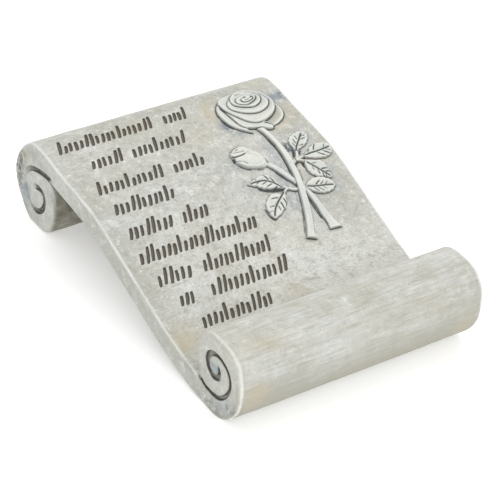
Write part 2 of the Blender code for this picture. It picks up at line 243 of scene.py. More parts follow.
BACK_PART, TOP_PART, FRONT_PART, UNDER_PART = PARTS
CREST_AT = step_lengths(BACK_PART).sum()
UPPER = np.vstack((BACK_PART, TOP_PART[1:]))


def rows_round():
    """The rows: place (y, z), way down the sheet from the crest, and the run they are in."""
    runs = []
    for name, line, first, last in (
            ("back roll", UPPER, 0.0, CREST_AT + FIELD_FROM),
            ("sheet", UPPER, CREST_AT + FIELD_FROM, CREST_AT + FIELD_TO),
            ("foot of sheet", UPPER, CREST_AT + FIELD_TO, None),
            ("front roll", FRONT_PART, 0.0, None), ("underside", UNDER_PART, 0.0, None)):
        points, places = walk(line, first, last, ROW_STEPS[name])
        downs = places - CREST_AT if line is UPPER else np.full(len(places), FAR)
        runs.append((points[:-1], downs[:-1], [name] * (len(places) - 1)))
    return [np.concatenate(column) for column in zip(*runs)]


ROW_AT, ROW_DOWN, ROW_RUN = rows_round()
ROW_OUT = normals_of(ROW_AT, closed=True)
ON_FRONT, ON_BACK = ROW_RUN == "front roll", ROW_RUN == "back roll"
UNDER = ROW_RUN == "underside"
print(len(ROW_AT), "rows")

# %% Columns across the width
ROUNDING_STEPS, COLUMNS = 5, 80
SHEET_ROUNDING, MORE_ON_FRONT, MORE_ON_BACK = 1.05, 1.25, 0.75
turns = np.radians(np.linspace(0.0, 90.0, ROUNDING_STEPS + 1)[:-1])
shares = np.linspace(-1.0, 1.0, COLUMNS)
COLUMN_TURN = np.concatenate((turns, np.full(len(shares), math.pi / 2), turns[::-1]))
COLUMN_SHARE = np.concatenate((np.full(ROUNDING_STEPS, -1.0), shares,
                               np.full(ROUNDING_STEPS, 1.0)))


def softened(flags, rows):
    """Row flags turned into numbers that change over a few rows."""
    weights = np.hanning(2 * rows + 3)[1:-1]
    padded = np.concatenate((flags[-rows:], flags, flags[:rows])).astype(float)
    return np.convolve(padded, weights / weights.sum(), mode="valid")


def bell(x, width):
    """1 at 0, falling away softly to both sides within about the width."""
    return np.exp(-(x / width) ** 2)


wander = np.array([noise.noise((y / 7.0, z / 7.0, 3.0)) for y, z in ROW_AT])
ROUNDING = (SHEET_ROUNDING + MORE_ON_FRONT * softened(ON_FRONT, 3)
            + MORE_ON_BACK * softened(ON_BACK, 3))
NOOK_GAP = np.minimum(np.linalg.norm(ROW_AT - FRONT_PART[0], axis=1),
                      np.linalg.norm(ROW_AT - BACK_PART[0], axis=1))
ROUNDING *= (1 + 0.20 * wander) * (1 - 0.75 * bell(NOOK_GAP, 3.5))
ROUNDING = ROUNDING[:, None]
# the plain columns stop a little short of the rounding, so that no two places coincide
SHORT_BY = 0.1 * (COLUMN_TURN == math.pi / 2)
X_OF = COLUMN_SHARE * (WIDTH / 2 - ROUNDING * (1 - np.cos(COLUMN_TURN)) - SHORT_BY)
INSET = ROUNDING * (1 - np.sin(COLUMN_TURN))
print("edges rounded by", ROUNDING.min().round(2), "to", ROUNDING.max().round(2), "mm")

# %% The net, with a hole for the carved face
HEAD = np.flatnonzero(ROW_RUN == "sheet")[0]
FOOT = np.flatnonzero(ROW_RUN == "sheet")[-1] + 1
LEFT, RIGHT = ROUNDING_STEPS, len(COLUMN_SHARE) - ROUNDING_STEPS - 1
in_net = np.ones(X_OF.shape, bool)
in_net[HEAD + 1:FOOT, LEFT + 1:RIGHT] = False
NUMBER = np.full(X_OF.shape, -1)
NUMBER[in_net] = np.arange(in_net.sum())
faces = []
for r in range(len(ROW_AT)):
    this_row, next_row = NUMBER[r], NUMBER[(r + 1) % len(ROW_AT)]
    for c in range(len(COLUMN_SHARE) - 1):
        if not (HEAD <= r < FOOT and LEFT <= c < RIGHT):
            faces.append([int(this_row[c]), int(this_row[c + 1]),
                          int(next_row[c + 1]), int(next_row[c])])
RIM_OF_HOLE = ([(HEAD, c) for c in range(LEFT, RIGHT)] + [(r, RIGHT) for r in range(HEAD, FOOT)]
               + [(FOOT, c) for c in range(RIGHT, LEFT, -1)]
               + [(r, LEFT) for r in range(FOOT, HEAD, -1)])
print(in_net.sum(), "places in the net,", len(faces), "faces,", len(RIM_OF_HOLE), "round the hole")

# %% [markdown]
# ## Carving as a height over the sheet
#
# A mould maker models low relief in wax on a flat plate. The same can be done with a height
# for every place of the carved face: a petal is laid over what lies under it, like a card on a
# pile, and then given a rolled lip. Two questions answer nearly everything: how far is this
# place from a line, and does it lie inside a loop?
#
# Every form and cut goes on one list first. The list is read twice: once to set places for the
# mesh close beside each edge, where the relief is steep, and once to raise those places.

# %% Distances and loops
def from_line(line, x, s):
    """How far places are from a line, how far along it that is, and the way from it."""
    nearest = np.full(x.shape, FAR)
    along, away_x, away_s = np.zeros((3,) + x.shape)
    steps = np.diff(line, axis=0)
    for k, (start, step) in enumerate(zip(line, steps)):
        t = np.clip(((x - start[0]) * step[0] + (s - start[1]) * step[1]) / (step @ step), 0, 1)
        dx, ds = x - start[0] - t * step[0], s - start[1] - t * step[1]
        gap = np.hypot(dx, ds)
        closer = gap < nearest
        nearest[closer], along[closer] = gap[closer], (k + t[closer]) / len(steps)
        away_x[closer], away_s[closer] = dx[closer], ds[closer]
    long = np.maximum(nearest, 1e-9)
    return nearest, along, away_x / long, away_s / long


def within(loop, x, s):
    """True where a place lies inside a closed loop."""
    odd = np.zeros(x.shape, bool)
    for (ax, ay), (bx, by) in zip(loop, loop[1:]):
        if ay != by:
            odd ^= ((ay > s) != (by > s)) & (x < (bx - ax) * (s - ay) / (by - ay) + ax)
    return odd


def ringed(points):
    """The points with the first of them again at the end."""
    return np.vstack((points, points[:1]))


def beside(line, offset, step, closed=False):
    """Places at even steps beside a line, to its right when the offset is more than 0."""
    if closed:
        moved = ringed(line[:-1] + normals_of(line[:-1], closed=True) * offset)
    else:
        moved = line + normals_of(line) * np.reshape(offset, (-1, 1))
    return walk(moved, 0.0, None, step)[0]


corner = from_line(np.array(((0.0, 0.0), (0.0, -1.0))), np.array([3.0]), np.array([4.0]))[0][0]
print("a place 3 across and 4 down from the end of a line is", corner, "away from it")

# %% Steps of the carving
STEPS = []
MESH_STEP = 0.42
EDGE_SOFT = 0.5
LINE_OUT, LINE_WIDTH = 0.24, 0.32
LIP_IN, LIP_WIDTH = 0.60, 0.45


def run_left(loop):
    """The loop, run so that its inside lies on its left."""
    turn = np.sum(loop[:-1, 0] * loop[1:, 1] - loop[1:, 0] * loop[:-1, 1])
    return loop if turn > 0 else loop[::-1]


class Step:
    """One step of the carving along a path. It goes on the list when it is made."""
    closed, mesh_step = True, MESH_STEP

    def __init__(self, path):
        self.path = path
        STEPS.append(self)

    def places(self):
        """Rows of places beside the path, for the mesh."""
        return np.vstack([beside(self.path, offset, self.mesh_step, self.closed)
                          for offset in self.offsets])


print("places beside a path stand", MESH_STEP, "mm apart")


# %% Forms
class Form(Step):
    """A loop that is filled to a height, with a dark line pressed in round it."""
    offsets = (0.0, -0.25, 0.25, 0.52, -0.52, -0.9, 0.9)

    def __init__(self, loop, shape, line, bowl=0.0, sides=(0.35, -0.35)):
        super().__init__(run_left(loop))
        self.shape, self.line, self.bowl, self.sides = shape, line, bowl, sides

    def carve(self, face):
        at, x, s = face.near(self.path, 4.0)
        gap, _, out_x, out_s = from_line(self.path, x, s)
        inside = within(self.path, x, s)
        inner, out_x, out_s = (np.where(inside, a, b) for a, b in (
            (gap, -gap), (-out_x, out_x), (-out_s, out_s)))
        # painted shade: on the side of a form away from the light the pressed line is stronger and
        # a halo of shade spills onto the ground
        aside = np.where(out_x < 0, *self.sides) * np.abs(out_x)
        shaded_side = np.clip(0.5 + aside + 0.40 * out_s, 0, 1)
        shape, under = self.shape(inner, x, s), face.height[at]
        cover = eased((inner + EDGE_SOFT / 3) / EDGE_SOFT)
        pressed = bell(inner + LINE_OUT, LINE_WIDTH) * (0.22 + 0.78 * shaded_side)
        face.height[at] = under + (np.maximum(shape, under) - under) * cover - self.line * pressed
        spill = bell(np.clip(-inner, 0, None), 1.5) * (0.1 + 0.9 * shaded_side)
        for name, values in (
                ("flower", eased(inner / 0.5)), ("line", pressed * min(1.0, self.line / 0.35)),
                ("wash_and_shade_halo", spill * (1 - cover)),
                ("rim", bell(inner - LIP_IN, LIP_WIDTH) * cover),
                ("bowl", self.bowl * eased((inner - 0.9) / 1.6))):
            face.mark(name, at, cover, values)


print("a form has", len(Form.offsets), "rows of places along its edge")


# %% Scratches and cuts
class Scratch(Step):
    """A fine line cut into what is there, thinner at its ends."""
    offsets, closed = (0.0, 0.26, -0.26, 0.56, -0.56), False

    def __init__(self, points, depth, width, taper=0.15):
        super().__init__(smooth_line(points, 5))
        self.depth, self.width, self.taper = depth, width, taper

    def carve(self, face):
        at, x, s = face.near(self.path, 3 * self.width)
        gap, along, _, _ = from_line(self.path, x, s)
        strength = eased(along / self.taper) * eased((1 - along) / self.taper)
        cut = strength * bell(gap, self.width)
        face.height[at] -= self.depth * cut
        face.line[at] = np.maximum(face.line[at], cut * min(1.0, self.depth / 0.5))
        face.rim[at] *= 1 - cut


def scratches(*rows):
    """Fine lines, each given as its depth, its width and the numbers of its points."""
    for depth, width, *points in rows:
        Scratch(points, depth, width)


class Cut(Step):
    """A flat-floored cut with steep walls, inside a loop."""
    offsets, mesh_step = (0.05, -0.22, 0.35, -0.5), 0.5

    def __init__(self, loop, depth):
        super().__init__(run_left(loop))
        self.depth = depth

    def carve(self, face):
        at, x, s = face.near(self.path, 1.5)
        gap = from_line(self.path, x, s)[0]
        inner = np.where(within(self.path, x, s), gap, -gap)
        face.height[at] = np.minimum(face.height[at],
                                     -self.depth * eased((inner + 0.15) / 0.55))
        face.stroke[at] = np.maximum(face.stroke[at], np.clip((inner + 0.35) / 1.0, 0, 1))


print("a scratch has", len(Scratch.offsets), "rows of places, a cut", len(Cut.offsets))


# %% Heights and marks
class Face:
    """Places on the carved face, with their heights and the marks that the finish needs."""
    MARKS = ("flower", "line", "wash_and_shade_halo", "rim", "bowl", "stroke")

    def __init__(self, x, s):
        self.x, self.s = x, s
        self.height = np.zeros(len(x))
        for name in self.MARKS:
            setattr(self, name, np.zeros(len(x)))

    def near(self, line, margin):
        """Which places lie in the window round a line, and where they are."""
        low, high = line.min(axis=0) - margin, line.max(axis=0) + margin
        at = np.flatnonzero((self.x > low[0]) & (self.x < high[0])
                            & (self.s > low[1]) & (self.s < high[1]))
        return at, self.x[at], self.s[at]

    def mark(self, name, at, cover, values):
        """A new form hides the marks under it and brings its own."""
        marks = getattr(self, name)
        marks[at] = np.maximum(marks[at] * (1 - cover), values)


print("marks of the carved face:", Face.MARKS)

# %% [markdown]
# ## Stems, leaves and the bud
#
# The stems are half-round rods laid on the sheet, the rose's own over the bud's, and each ends
# in a slanting cut. A leaf is a thin cushion with its midrib and side veins pressed in and a
# toothed edge. The bud is a taller cushion with two petals wrapped over it and a pointed tip.

# %% Stems
def stem(left, right, height, line=0.32):
    """A half-round rod between two edges, laid over what is there."""
    share = np.linspace(0, 1, 64)
    sides = [np.column_stack([np.interp(share, np.linspace(0, 1, len(edge)), edge[:, k])
                              for k in (0, 1)]) for edge in (left, right)]
    centre = (sides[0] + sides[1]) / 2
    halves = np.linalg.norm(sides[0] - sides[1], axis=1) / 2

    def shape(inner, x, s):
        gap, along, _, _ = from_line(centre, x, s)
        round_top = 1.08 - (gap / np.interp(along, share, halves)) ** 2
        starting = 0.5 + 0.5 * eased(along / 0.07)
        return height * np.clip(round_top, 0.02, 1.0) ** 0.4 * starting

    Form(ringed(np.vstack((sides[0], sides[1][::-1]))), shape, line=line)


STEMS = (
    # height, then the left edge and the right one, as plain numbers
    (1.45,
     (28.6, 56.5, 30.6, 59.6, 32.5, 63.3, 34.1, 66.5, 35.5, 69.3, 37.4, 73.2, 39.4, 77.5,
      39.9, 82.6, 40.2, 87.9, 40, 93, 40.2, 97, 40, 99.6, 39.6, 101.8),
     (30.6, 55, 32.6, 57.5, 35.1, 61.2, 37, 65.8, 38.5, 69.3, 40.2, 73, 41.7, 76.6, 43, 81.1,
      43.6, 87.2, 44.1, 93.2, 44.8, 98, 45.4, 100.6, 46.4, 102.4)),
    (1.8,
     (39.8, 30.6, 40.4, 33.4, 40.9, 37, 41.2, 41.2, 41.3, 46.2, 40.8, 52, 40.2, 57.6, 39.3, 64.5,
      38.3, 69.6, 36.8, 75, 34.8, 80.9, 32.3, 87.8, 29.4, 94.5, 26.8, 99.4, 24.9, 102.4),
     (43.2, 30.4, 43.6, 34.4, 44, 38.6, 44.1, 43, 43.9, 47.6, 43.9, 52.4, 43.7, 57.4, 43.2, 61.4,
      42.4, 66, 41.3, 71.6, 39.8, 77.2, 37.6, 84.4, 35, 91.2, 32.2, 97.4, 30.2, 101.6,
      29.9, 104.6)),
)
TWIGS = (
    # width at first, at last, height, then the centre line
    (2.6, 1.6, 1.25, 42.2, 59.6, 44.6, 59.3, 46.6, 58.2, 47.9, 56.3, 48.9, 53.8),
    (1.5, 1.3, 1.15, 45.6, 58.8, 47.8, 58.5, 50.2, 58.1, 52.4, 58),
    (1.5, 1.2, 1.15, 45.4, 59, 47.2, 59.4, 48.8, 60.6, 50.6, 62.4),
    (1.9, 1.4, 1, 37.8, 75.2, 34.6, 74.5, 31.8, 72.9, 29.8, 70.9),
    (1.3, 1.5, 1, 32.2, 73.2, 30.4, 73.3, 28.6, 74.8),
    (1.5, 1.3, 0.9, 38.8, 73.4, 40.6, 74.2, 42.4, 75.2),
)


def twig(first, last, height, *points):
    """A thin stem about a centre line."""
    line = smooth_line(points, 5)
    out = normals_of(line) * np.linspace(first, last, len(line))[:, None] / 2
    stem(line + out, line - out, height, line=0.30)


scratches(
    (0.8, 0.62, 43.3, 64.4, 43.6, 61.9, 44.6, 60.5, 46.1, 59.9, 47.5, 60.1, 48.2, 61.5, 48, 63.4,
     48.4, 65.4),
    (0.6, 0.6, 50.2, 58.9, 51.2, 59.2),
    (0.55, 0.55, 49.9, 56.4, 50.4, 54.9, 52, 53.6),
    (0.6, 0.55, 47.4, 51, 47.7, 53.2, 46.6, 55.6, 45.2, 56.6),
    (0.3, 0.45, 45.6, 47, 46.4, 48.6, 45.6, 50.4),
    (0.25, 0.5, 44.2, 63.5, 43, 68.6, 41.8, 72.4),
    (0.4, 0.45, 40.2, 37, 40.6, 42, 40.7, 47, 40.2, 52.4, 39.6, 58, 38.8, 63, 37.9, 67.5),
    (0.18, 0.55, 35.6, 72, 34, 77.5, 32, 83),
    (0.3, 0.5, 36, 76.5, 33.6, 84, 30.6, 90, 27.2, 96.6, 24.8, 101),
    (0.42, 0.6, 38.8, 78.5, 39, 84, 39.1, 90, 39.3, 96),
    (0.35, 0.55, 31, 61.4, 33, 65.4, 35, 69.8),
    (0.45, 0.8, 16.5, 67.2, 19, 69.6, 23, 71.6, 27, 72.4, 31, 73.6),
    (0.4, 0.5, 13.6, 79, 13.7, 83.4, 15, 87.2, 17.4, 87))
for numbers in TWIGS:
    twig(*numbers)
for height, left, right in STEMS:
    stem(smooth_line(left, 5), smooth_line(right, 5), height)
print(len(STEMS), "stems and", len(TWIGS), "twigs")

# %% Leaves
LEAVES = (
    # outline from the base along one side to the tip and back, then the midrib
    ((49, 53.6, 48.6, 50.6, 48.9, 47.2, 50.6, 44.6, 53.1, 43, 56.3, 42, 59.6, 41.9, 61.2, 44.4,
      60.6, 47.2, 58.9, 49.4, 56.6, 51.2, 54, 52.3, 51.4, 53),
     (49, 53.8, 50.6, 51.6, 52.8, 49.4, 55.3, 47.1, 57.4, 45, 59.4, 43.2)),
    ((51, 58.2, 55.6, 54.9, 60.1, 52.9, 64.1, 53.3, 66.8, 54.4, 68.3, 56.8, 66.7, 60.7, 62.6, 62.3,
      59, 62, 55.3, 61),
     (51.1, 57.9, 55.1, 57.6, 59.9, 57.6, 64.2, 57.3, 68, 56.9)),
    ((49.6, 61, 52.9, 61.7, 57.1, 63.1, 58.6, 65.4, 58.8, 68.3, 58.5, 71.5, 58.1, 74.4, 55, 73.3,
      51, 71.7, 48.5, 68.8, 48, 65.4),
     (49.8, 61.5, 52.1, 64.9, 54.2, 68.3, 56, 71.2, 57.9, 74)),
    ((41.8, 74.7, 46.4, 72, 50.7, 72.1, 54.1, 73.6, 56.3, 76.1, 57, 79.2, 53.5, 81.5, 49.6, 81.8,
      46, 80.6, 43.2, 78.3),
     (41.9, 74.9, 44.6, 76.1, 48.6, 77.1, 53.1, 78, 56.6, 79)),
    ((30, 72.2, 28.7, 69.2, 27.7, 64.9, 25.2, 62.1, 21.2, 61.7, 17.6, 62.6, 13.4, 64.4, 16.6, 66.6,
      18.4, 68.4, 21.5, 70, 25.8, 71),
     (29.6, 72, 27.6, 69.2, 25, 66.4, 21.8, 64.8, 17.5, 64.3, 13.9, 64.4)),
    ((29.3, 73.4, 26.3, 74.7, 21.9, 73.5, 18.6, 74.9, 15.3, 78.2, 14.4, 82.5, 15.6, 86.7,
      20.5, 85.3, 25.4, 81.8, 27.8, 77.4),
     (29, 73.9, 24.8, 76.9, 20.9, 79.8, 17.8, 83, 15.8, 86.2)),
)
LEAF_HEIGHT = 1.25
SIDE_VEINS = ((0.20, 0.24, 0.42), (0.38, 0.29, 0.54), (0.55, 0.25, 0.46), (0.71, 0.17, 0.34))


def toothed(loop, teeth, depth):
    """The loop with small teeth along it, larger towards the tip."""
    out = normals_of(loop[:-1], closed=True)
    t = np.linspace(0, 1, len(loop) - 1, endpoint=False)
    wave = np.abs(np.sin(np.pi * teeth * t)) - 0.6
    wave *= depth * np.sin(np.pi * t) ** 0.5
    return ringed(loop[:-1] + out * wave[:, None])


def leaf(number, points, midrib):
    """One leaf: a thin cushion with veins pressed into it."""
    rib = smooth_line(midrib, 5)
    base, tip = rib[0], rib[-1]
    span = np.linalg.norm(tip - base)
    ahead = (tip - base) / span
    aside = np.array((-ahead[1], ahead[0]))

    def shape(inner, x, s):
        cushion = 0.45 + 0.55 * np.sqrt(1 - (1 - np.clip(inner / 1.1, 0, 1)) ** 2)
        gap = from_line(rib, x, s)[0]
        forward = (x - base[0]) * ahead[0] + (s - base[1]) * ahead[1] - 0.55 * gap
        puffed = 0.09 * np.cos(2 * np.pi * (forward / span - 0.10) / 0.175)
        puffed *= np.clip(gap / 2, 0, 1)
        return LEAF_HEIGHT * cushion - 0.32 * bell(gap, 1.6) - puffed

    Form(toothed(smooth_line(points, 9, closed=True), 13, 0.42), shape, line=0.28)
    Scratch(midrib, 0.62, 0.48, taper=0.06)
    for n, (share, length, depth) in enumerate(SIDE_VEINS):
        for way in (-1.0, 1.0):
            odd = math.sin(7.0 * share + 3.0 * way + base[0])
            if (n + way + number) % 5 == 2:
                continue
            root = rib[round((share + 0.035 * way + 0.02 * odd) * (len(rib) - 1))]
            out = span * length * (1 + 0.18 * odd)
            Scratch([root + ((ahead * (0.70 - 0.12 * odd) + aside * way) * t
                             + ahead * 0.30 * t * t) * out for t in (0.06, 0.5, 0.95)],
                    depth * (1 + 0.2 * odd), 0.37, taper=0.3)


for number, (points, midrib) in enumerate(LEAVES):
    leaf(number, points, midrib)
print(len(LEAVES), "leaves")

# %% Bud
BUD = (
    # height at the edge, further in, how far in, depth of the line round it, then the loop
    (0.6, 1.75, 4, 0.2, 15.4, 43.4, 17.8, 41.1, 20.5, 39.7, 23, 39.7, 25.3, 40.7, 26.8, 42.4,
     28, 44.6, 29.4, 46.4, 30.5, 48.6, 30.7, 51.4, 30.5, 54.2, 29.8, 56.3, 28, 57.3, 24.8, 57,
     21.9, 56.2, 19, 55, 17.1, 53.2, 15.6, 51, 15, 49, 15.3, 46.6),
    (1.1, 1.6, 2.2, 0.1, 15.8, 43.5, 17.5, 41.6, 19.8, 40.5, 22.1, 40.2, 24.5, 40.9, 25.8, 42.4,
     25.6, 44.2, 24.2, 45.6, 21.6, 46.3, 19.1, 46.4, 16.9, 46, 15.8, 44.9),
    (1.3, 2.15, 4.5, 0.05, 16, 48, 17.4, 47.2, 20, 47.2, 22.8, 46.6, 25.4, 46.4, 27.4, 47.6,
     28.6, 49.8, 29, 52.6, 28.9, 55, 27.4, 56.4, 24.6, 56.5, 21.7, 55.6, 18.9, 54.5, 17, 52.8,
     15.9, 50.9, 15.5, 49.2),
)


def swollen(low, high, reach):
    """A cushion that swells from its edge."""
    return lambda inner, x, s: low + (high - low) * np.sin(
        0.5 * np.pi * np.clip(inner / reach, 0, 1)) ** 0.85


for low, high, reach, line, *points in BUD:
    Form(smooth_line(points, 7, closed=True), swollen(low, high, reach), line=line)
scratches(
    (0.36, 0.34, 18.4, 43, 19.6, 42.4, 21.2, 42.1),
    (0.32, 0.34, 16.2, 43.3, 17.7, 43.9, 19.8, 44.3, 21.8, 44.7, 24, 44.6),
    (0.42, 0.42, 16, 43.3, 17.4, 41.9, 19.3, 40.9, 21.3, 40.4, 23.2, 40.3),
    (0.2, 0.34, 22, 43.6, 23.4, 43.7, 24.6, 43),
    (0.22, 0.45, 28, 43.8, 29.5, 45.8, 30.8, 48.2),
    (0.5, 0.42, 15.3, 44.6, 16.4, 46.4, 18.6, 47, 21.2, 46.8, 23.4, 46),
    (0.6, 0.6, 15.6, 46.4, 15.2, 48, 15, 49.6),
    (0.28, 0.36, 15.3, 49.6, 17.2, 50.4, 19, 52, 20, 54.2),
    (0.4, 0.45, 15.6, 51.8, 17, 53.8, 18.8, 55.6, 21, 56.6),
    (0.18, 0.5, 22.8, 46.9, 24.8, 47.3, 26.4, 48.6, 27.3, 50.4, 27.3, 52.4),
    (0.35, 0.5, 30.9, 51.6, 31.1, 53.6, 31, 55.6),
    (0.3, 0.5, 22.8, 57.4, 25.2, 57.9, 27.6, 58))
print("bud of", len(BUD), "forms")

# %% [markdown]
# ## The rose
#
# The bloom is seen from above and a little to one side. Its petals were modelled one over
# the other: one that opens to the right, one to the left and one down the sheet, and then rings
# that close round the heart. Each is a loop laid over the last, highest just inside its rolled
# lip and sinking towards the heart, with a fine line pressed in along its edge, where the dark
# wash gathers later and painted shade darkens it on the side away from the light.

# %% Petals
PETALS = (
    # height at the edge, of the lip, further in, width of the band, painted shade in the bowl,
    # then the loop
    (0.45, 0.85, 0.25, 2.2, 1, 48, 6, 55, 8.5, 59.4, 13, 60.7, 18, 61.2, 21, 61.1, 23.8, 60, 26.6,
     57.6, 29.2, 54.6, 31, 51.2, 32, 48, 31.5, 46, 24),
    (0.6, 1.25, 0.9, 3.4, 0, 31, 8.3, 29.4, 9.4, 28, 11.6, 27.3, 14.4, 27.4, 17.8, 27.9, 21,
     28.7, 23.8, 30.1, 26.3, 31.7, 28.6, 33.8, 30.8, 35.4, 32.4, 36.4, 33, 35.8, 31.4, 35.4, 29.2,
     38, 24, 36, 14),
    (0.95, 1.5, 1.25, 2.4, 0, 31, 11, 31.3, 14.2, 31.8, 17, 32.4, 20, 32.8, 23, 33.4, 25.9,
     34.3, 28, 35.6, 29.2, 37.2, 29.7, 38.9, 30.2, 41, 30.9, 43.1, 31.5, 44.5, 32.9, 46.1, 34.1,
     47.8, 34.4, 49.1, 33.5, 49.7, 31.6, 48.6, 29.4, 45, 26.5, 40, 22, 37, 14),
    (1.25, 2.05, 1.6, 5, 0.15, 30.8, 8.6, 31.7, 6.8, 33.8, 5.4, 37.6, 4.6, 41.4, 3.9, 45.2, 3.3,
     48.8, 3.5, 52.6, 5.2, 56, 7.6, 58.2, 10.3, 59.4, 13.2, 59.8, 16.4, 59, 19.6, 57, 22.4,
     54, 24.8, 50.8, 26.5, 47.6, 27.6, 44.4, 27.9, 41.4, 27.2, 39, 25.6, 37.2, 23.3, 35.6, 20.6,
     34, 18.2, 32.5, 15.6, 31.2, 12.2),
    (1.8, 2.4, 1.95, 3.6, 0.15, 42.7, 4.6, 39.9, 5.9, 37.6, 8, 35.6, 9.8, 34.6, 11.6, 34.5, 13.6,
     35.4, 15.6, 37.2, 17.3, 39.4, 18.8, 41.8, 20.1, 44.4, 21, 47.2, 21.4, 50.2, 21, 53.2, 19.9,
     55.4, 18.4, 56.8, 16.5, 57.3, 14.6, 56.4, 11.6, 54.6, 9, 51.8, 6.8, 48.4, 5.2, 45.4, 4.6),
    (2.05, 2.55, 2.15, 3, 0.35, 43, 4.9, 40.2, 6.4, 38.2, 8.4, 37.4, 10.6, 38.2, 12.8, 40.2, 14.4,
     42.6, 15.7, 45, 16.5, 47.6, 16.9, 50.2, 16.2, 52.4, 15, 53.8, 13.4, 54.3, 11.6, 53.4, 10,
     51.4, 8.2, 48.6, 6.6, 45.8, 5.2),
    (2.25, 2.75, 2.45, 2.2, 0.4, 44.6, 8.3, 42.2, 8.9, 40.6, 10.1, 40, 11.7, 41, 13.2, 42.8, 14.2,
     44.8, 14.7, 47.2, 14.1, 49.6, 13.1, 51.4, 12, 52, 10.6, 50.6, 9.2, 48.2, 8.2),
    (2.5, 2.85, 2.6, 1.6, 0.5, 45, 9.9, 43.6, 10.8, 43.6, 12.2, 45.2, 12.9, 47.4, 12.7, 49.4, 11.9,
     50.2, 10.8, 49.2, 9.8, 47.2, 9.5),
)
LOW_TIP, TIP_REACH = (50.0, 32.0), 2.4


def petal(edge, lip, inside, band, bowl, *points):
    """Lays one petal on the pile: it rises from its edge to a lip and sinks further in."""

    def shape(inner, x, s):
        t = np.clip(inner / band, 0, 1)
        rising = 1 - (1 - np.clip(inner / 0.9, 0, 1)) ** 2
        full = edge + (lip - edge) * rising - (lip - inside) * eased((t - 0.25) / 0.75)
        from_tip = np.hypot(x - LOW_TIP[0], s - LOW_TIP[1])
        return full * (1 - 0.75 * bell(from_tip, TIP_REACH))

    Form(smooth_line(points, 7, closed=True), shape, line=0.52, bowl=bowl, sides=(0.45, 0.22))


for numbers in PETALS:
    petal(*numbers)
scratches(
    (0.6, 0.42, 45, 10.3, 45.9, 9.9, 47, 9.8),
    (0.6, 0.42, 48.5, 11.2, 49.3, 10.7, 50, 10),
    (0.3, 0.42, 44.6, 11.9, 46.4, 11.8, 48.2, 11.2),
    (0.25, 0.42, 41.4, 7.2, 43.4, 6.4, 46, 6.5),
    (0.55, 0.42, 45.8, 28.9, 47.6, 30, 49.3, 31.2),
    (0.14, 0.42, 38.6, 28.2, 40.6, 29, 43, 29.7),
    (0.16, 0.42, 36.4, 14.4, 38.4, 16, 41.2, 17.2),
    (0.4, 0.42, 26.8, 17, 27.3, 21.2, 28.3, 24.6, 29.8, 27.2),
    (0.4, 0.42, 36.6, 29.9, 39, 30.6, 41.4, 31.4, 43.2, 32))
print(len(PETALS), "petals")

# %% [markdown]
# ## The rows of strokes
#
# On the left the real piece is cut with rows of shallow grooves, dark with the wash that
# lies in them. Here they are plain slanting strokes, some taller, in the same rows and groups as
# in the solid model, but closer together. A stroke has a flat floor and steep walls and narrows
# a little towards both ends.

# %% Strokes
STROKE_ROWS = (
    # way down the sheet, (from, to) of each group
    (10.0, ((-62.0, -7.0), (-1.0, 13.0))), (25.5, ((-52.0, -33.0), (-28.5, 3.0))),
    (43.5, ((-59.0, -21.0), (-15.5, 2.5))), (58.5, ((-58.5, -24.0),)),
    (73.5, ((-59.0, -33.5), (-28.5, -13.0))), (88.0, ((-61.0, 6.5),)),
    (102.0, ((-59.0, -39.5), (-33.5, 6.0))), (115.5, ((-54.5, -46.0), (-36.5, 8.0))),
    (130.0, ((-50.5, -10.0),)),
)
STROKE_PITCH, STROKE_SLANT, STROKE_DEPTH = 3.10, 0.38, 0.85
HALF_WIDTHS = (0.98, 0.84, 0.92)
STROKE_HEIGHTS = (9.2, 6.1, 5.7, 8.7, 6.2, 5.2, 5.9, 6.3, 8.9, 5.7, 6.1)


def stroke(foot, height, half_width, slant):
    """One slanting cut."""
    foot = np.array(foot)
    lean = np.array((slant, -1.0)) * height
    t = np.linspace(0, 1, 7)[:, None]
    middle = foot + lean * t + np.array((0.12, 0.05)) * np.sin(np.pi * t)
    half = half_width * (0.70 + 0.30 * np.sin(np.pi * t) ** 0.7) * (1.0, 0.0)
    loop = smooth_line(np.vstack((middle - half, middle[::-1] + half[::-1])), 3, closed=True)
    Cut(loop, STROKE_DEPTH)


count = 0
for down, groups in STROKE_ROWS:
    for first, last in groups:
        number = max(2, round((last - first) / STROKE_PITCH))
        for k in range(number):
            height = STROKE_HEIGHTS[count * 5 % len(STROKE_HEIGHTS)]
            stroke((first + (last - first) * k / number, down + 0.3 * math.sin(count * 2.4)),
                   height, HALF_WIDTHS[count % len(HALF_WIDTHS)],
                   STROKE_SLANT + 0.06 * math.sin(count * 1.7))
            count += 1
print(count, "strokes")

# %% [markdown]
# ## Places that follow the carving
#
# A mesh looks crisp when its places lie along the edges of the relief. So rows of places are
# set beside every edge, vein and stroke, and a loose pattern fills the plain ground between
# them. Places that crowd each other, or that a later form covers, are left out. Then
# Blender's own Delaunay routine joins them all into triangles, as even as they can be.

# %% Which places to keep
def thinned(groups, cell=0.7):
    """The places of all groups but those that stand too near one that is already there."""
    taken, kept = {}, []
    for points, apart in groups:
        for x, s in points.tolist():
            i, j = int(x // cell), int(s // cell)
            if all((x - a) ** 2 + (s - b) ** 2 > apart * apart
                   for p in (i - 1, i, i + 1) for q in (j - 1, j, j + 1)
                   for a, b in taken.get((p, q), ())):
                taken.setdefault((i, j), []).append((x, s))
                kept.append((x, s))
    return np.array(kept)


def uncovered(number, points):
    """The places of a step that no later form hides."""
    seen = np.ones(len(points), bool)
    for later in STEPS[number + 1:]:
        if isinstance(later, Form):
            low, high = later.path.min(axis=0), later.path.max(axis=0)
            at = np.flatnonzero(np.all((points > low) & (points < high), axis=1) & seen)
            if len(at):
                x, s = points[at].T
                hidden = within(later.path, x, s) & (from_line(later.path, x, s)[0] > 0.6)
                seen[at[hidden]] = False
    return points[seen]


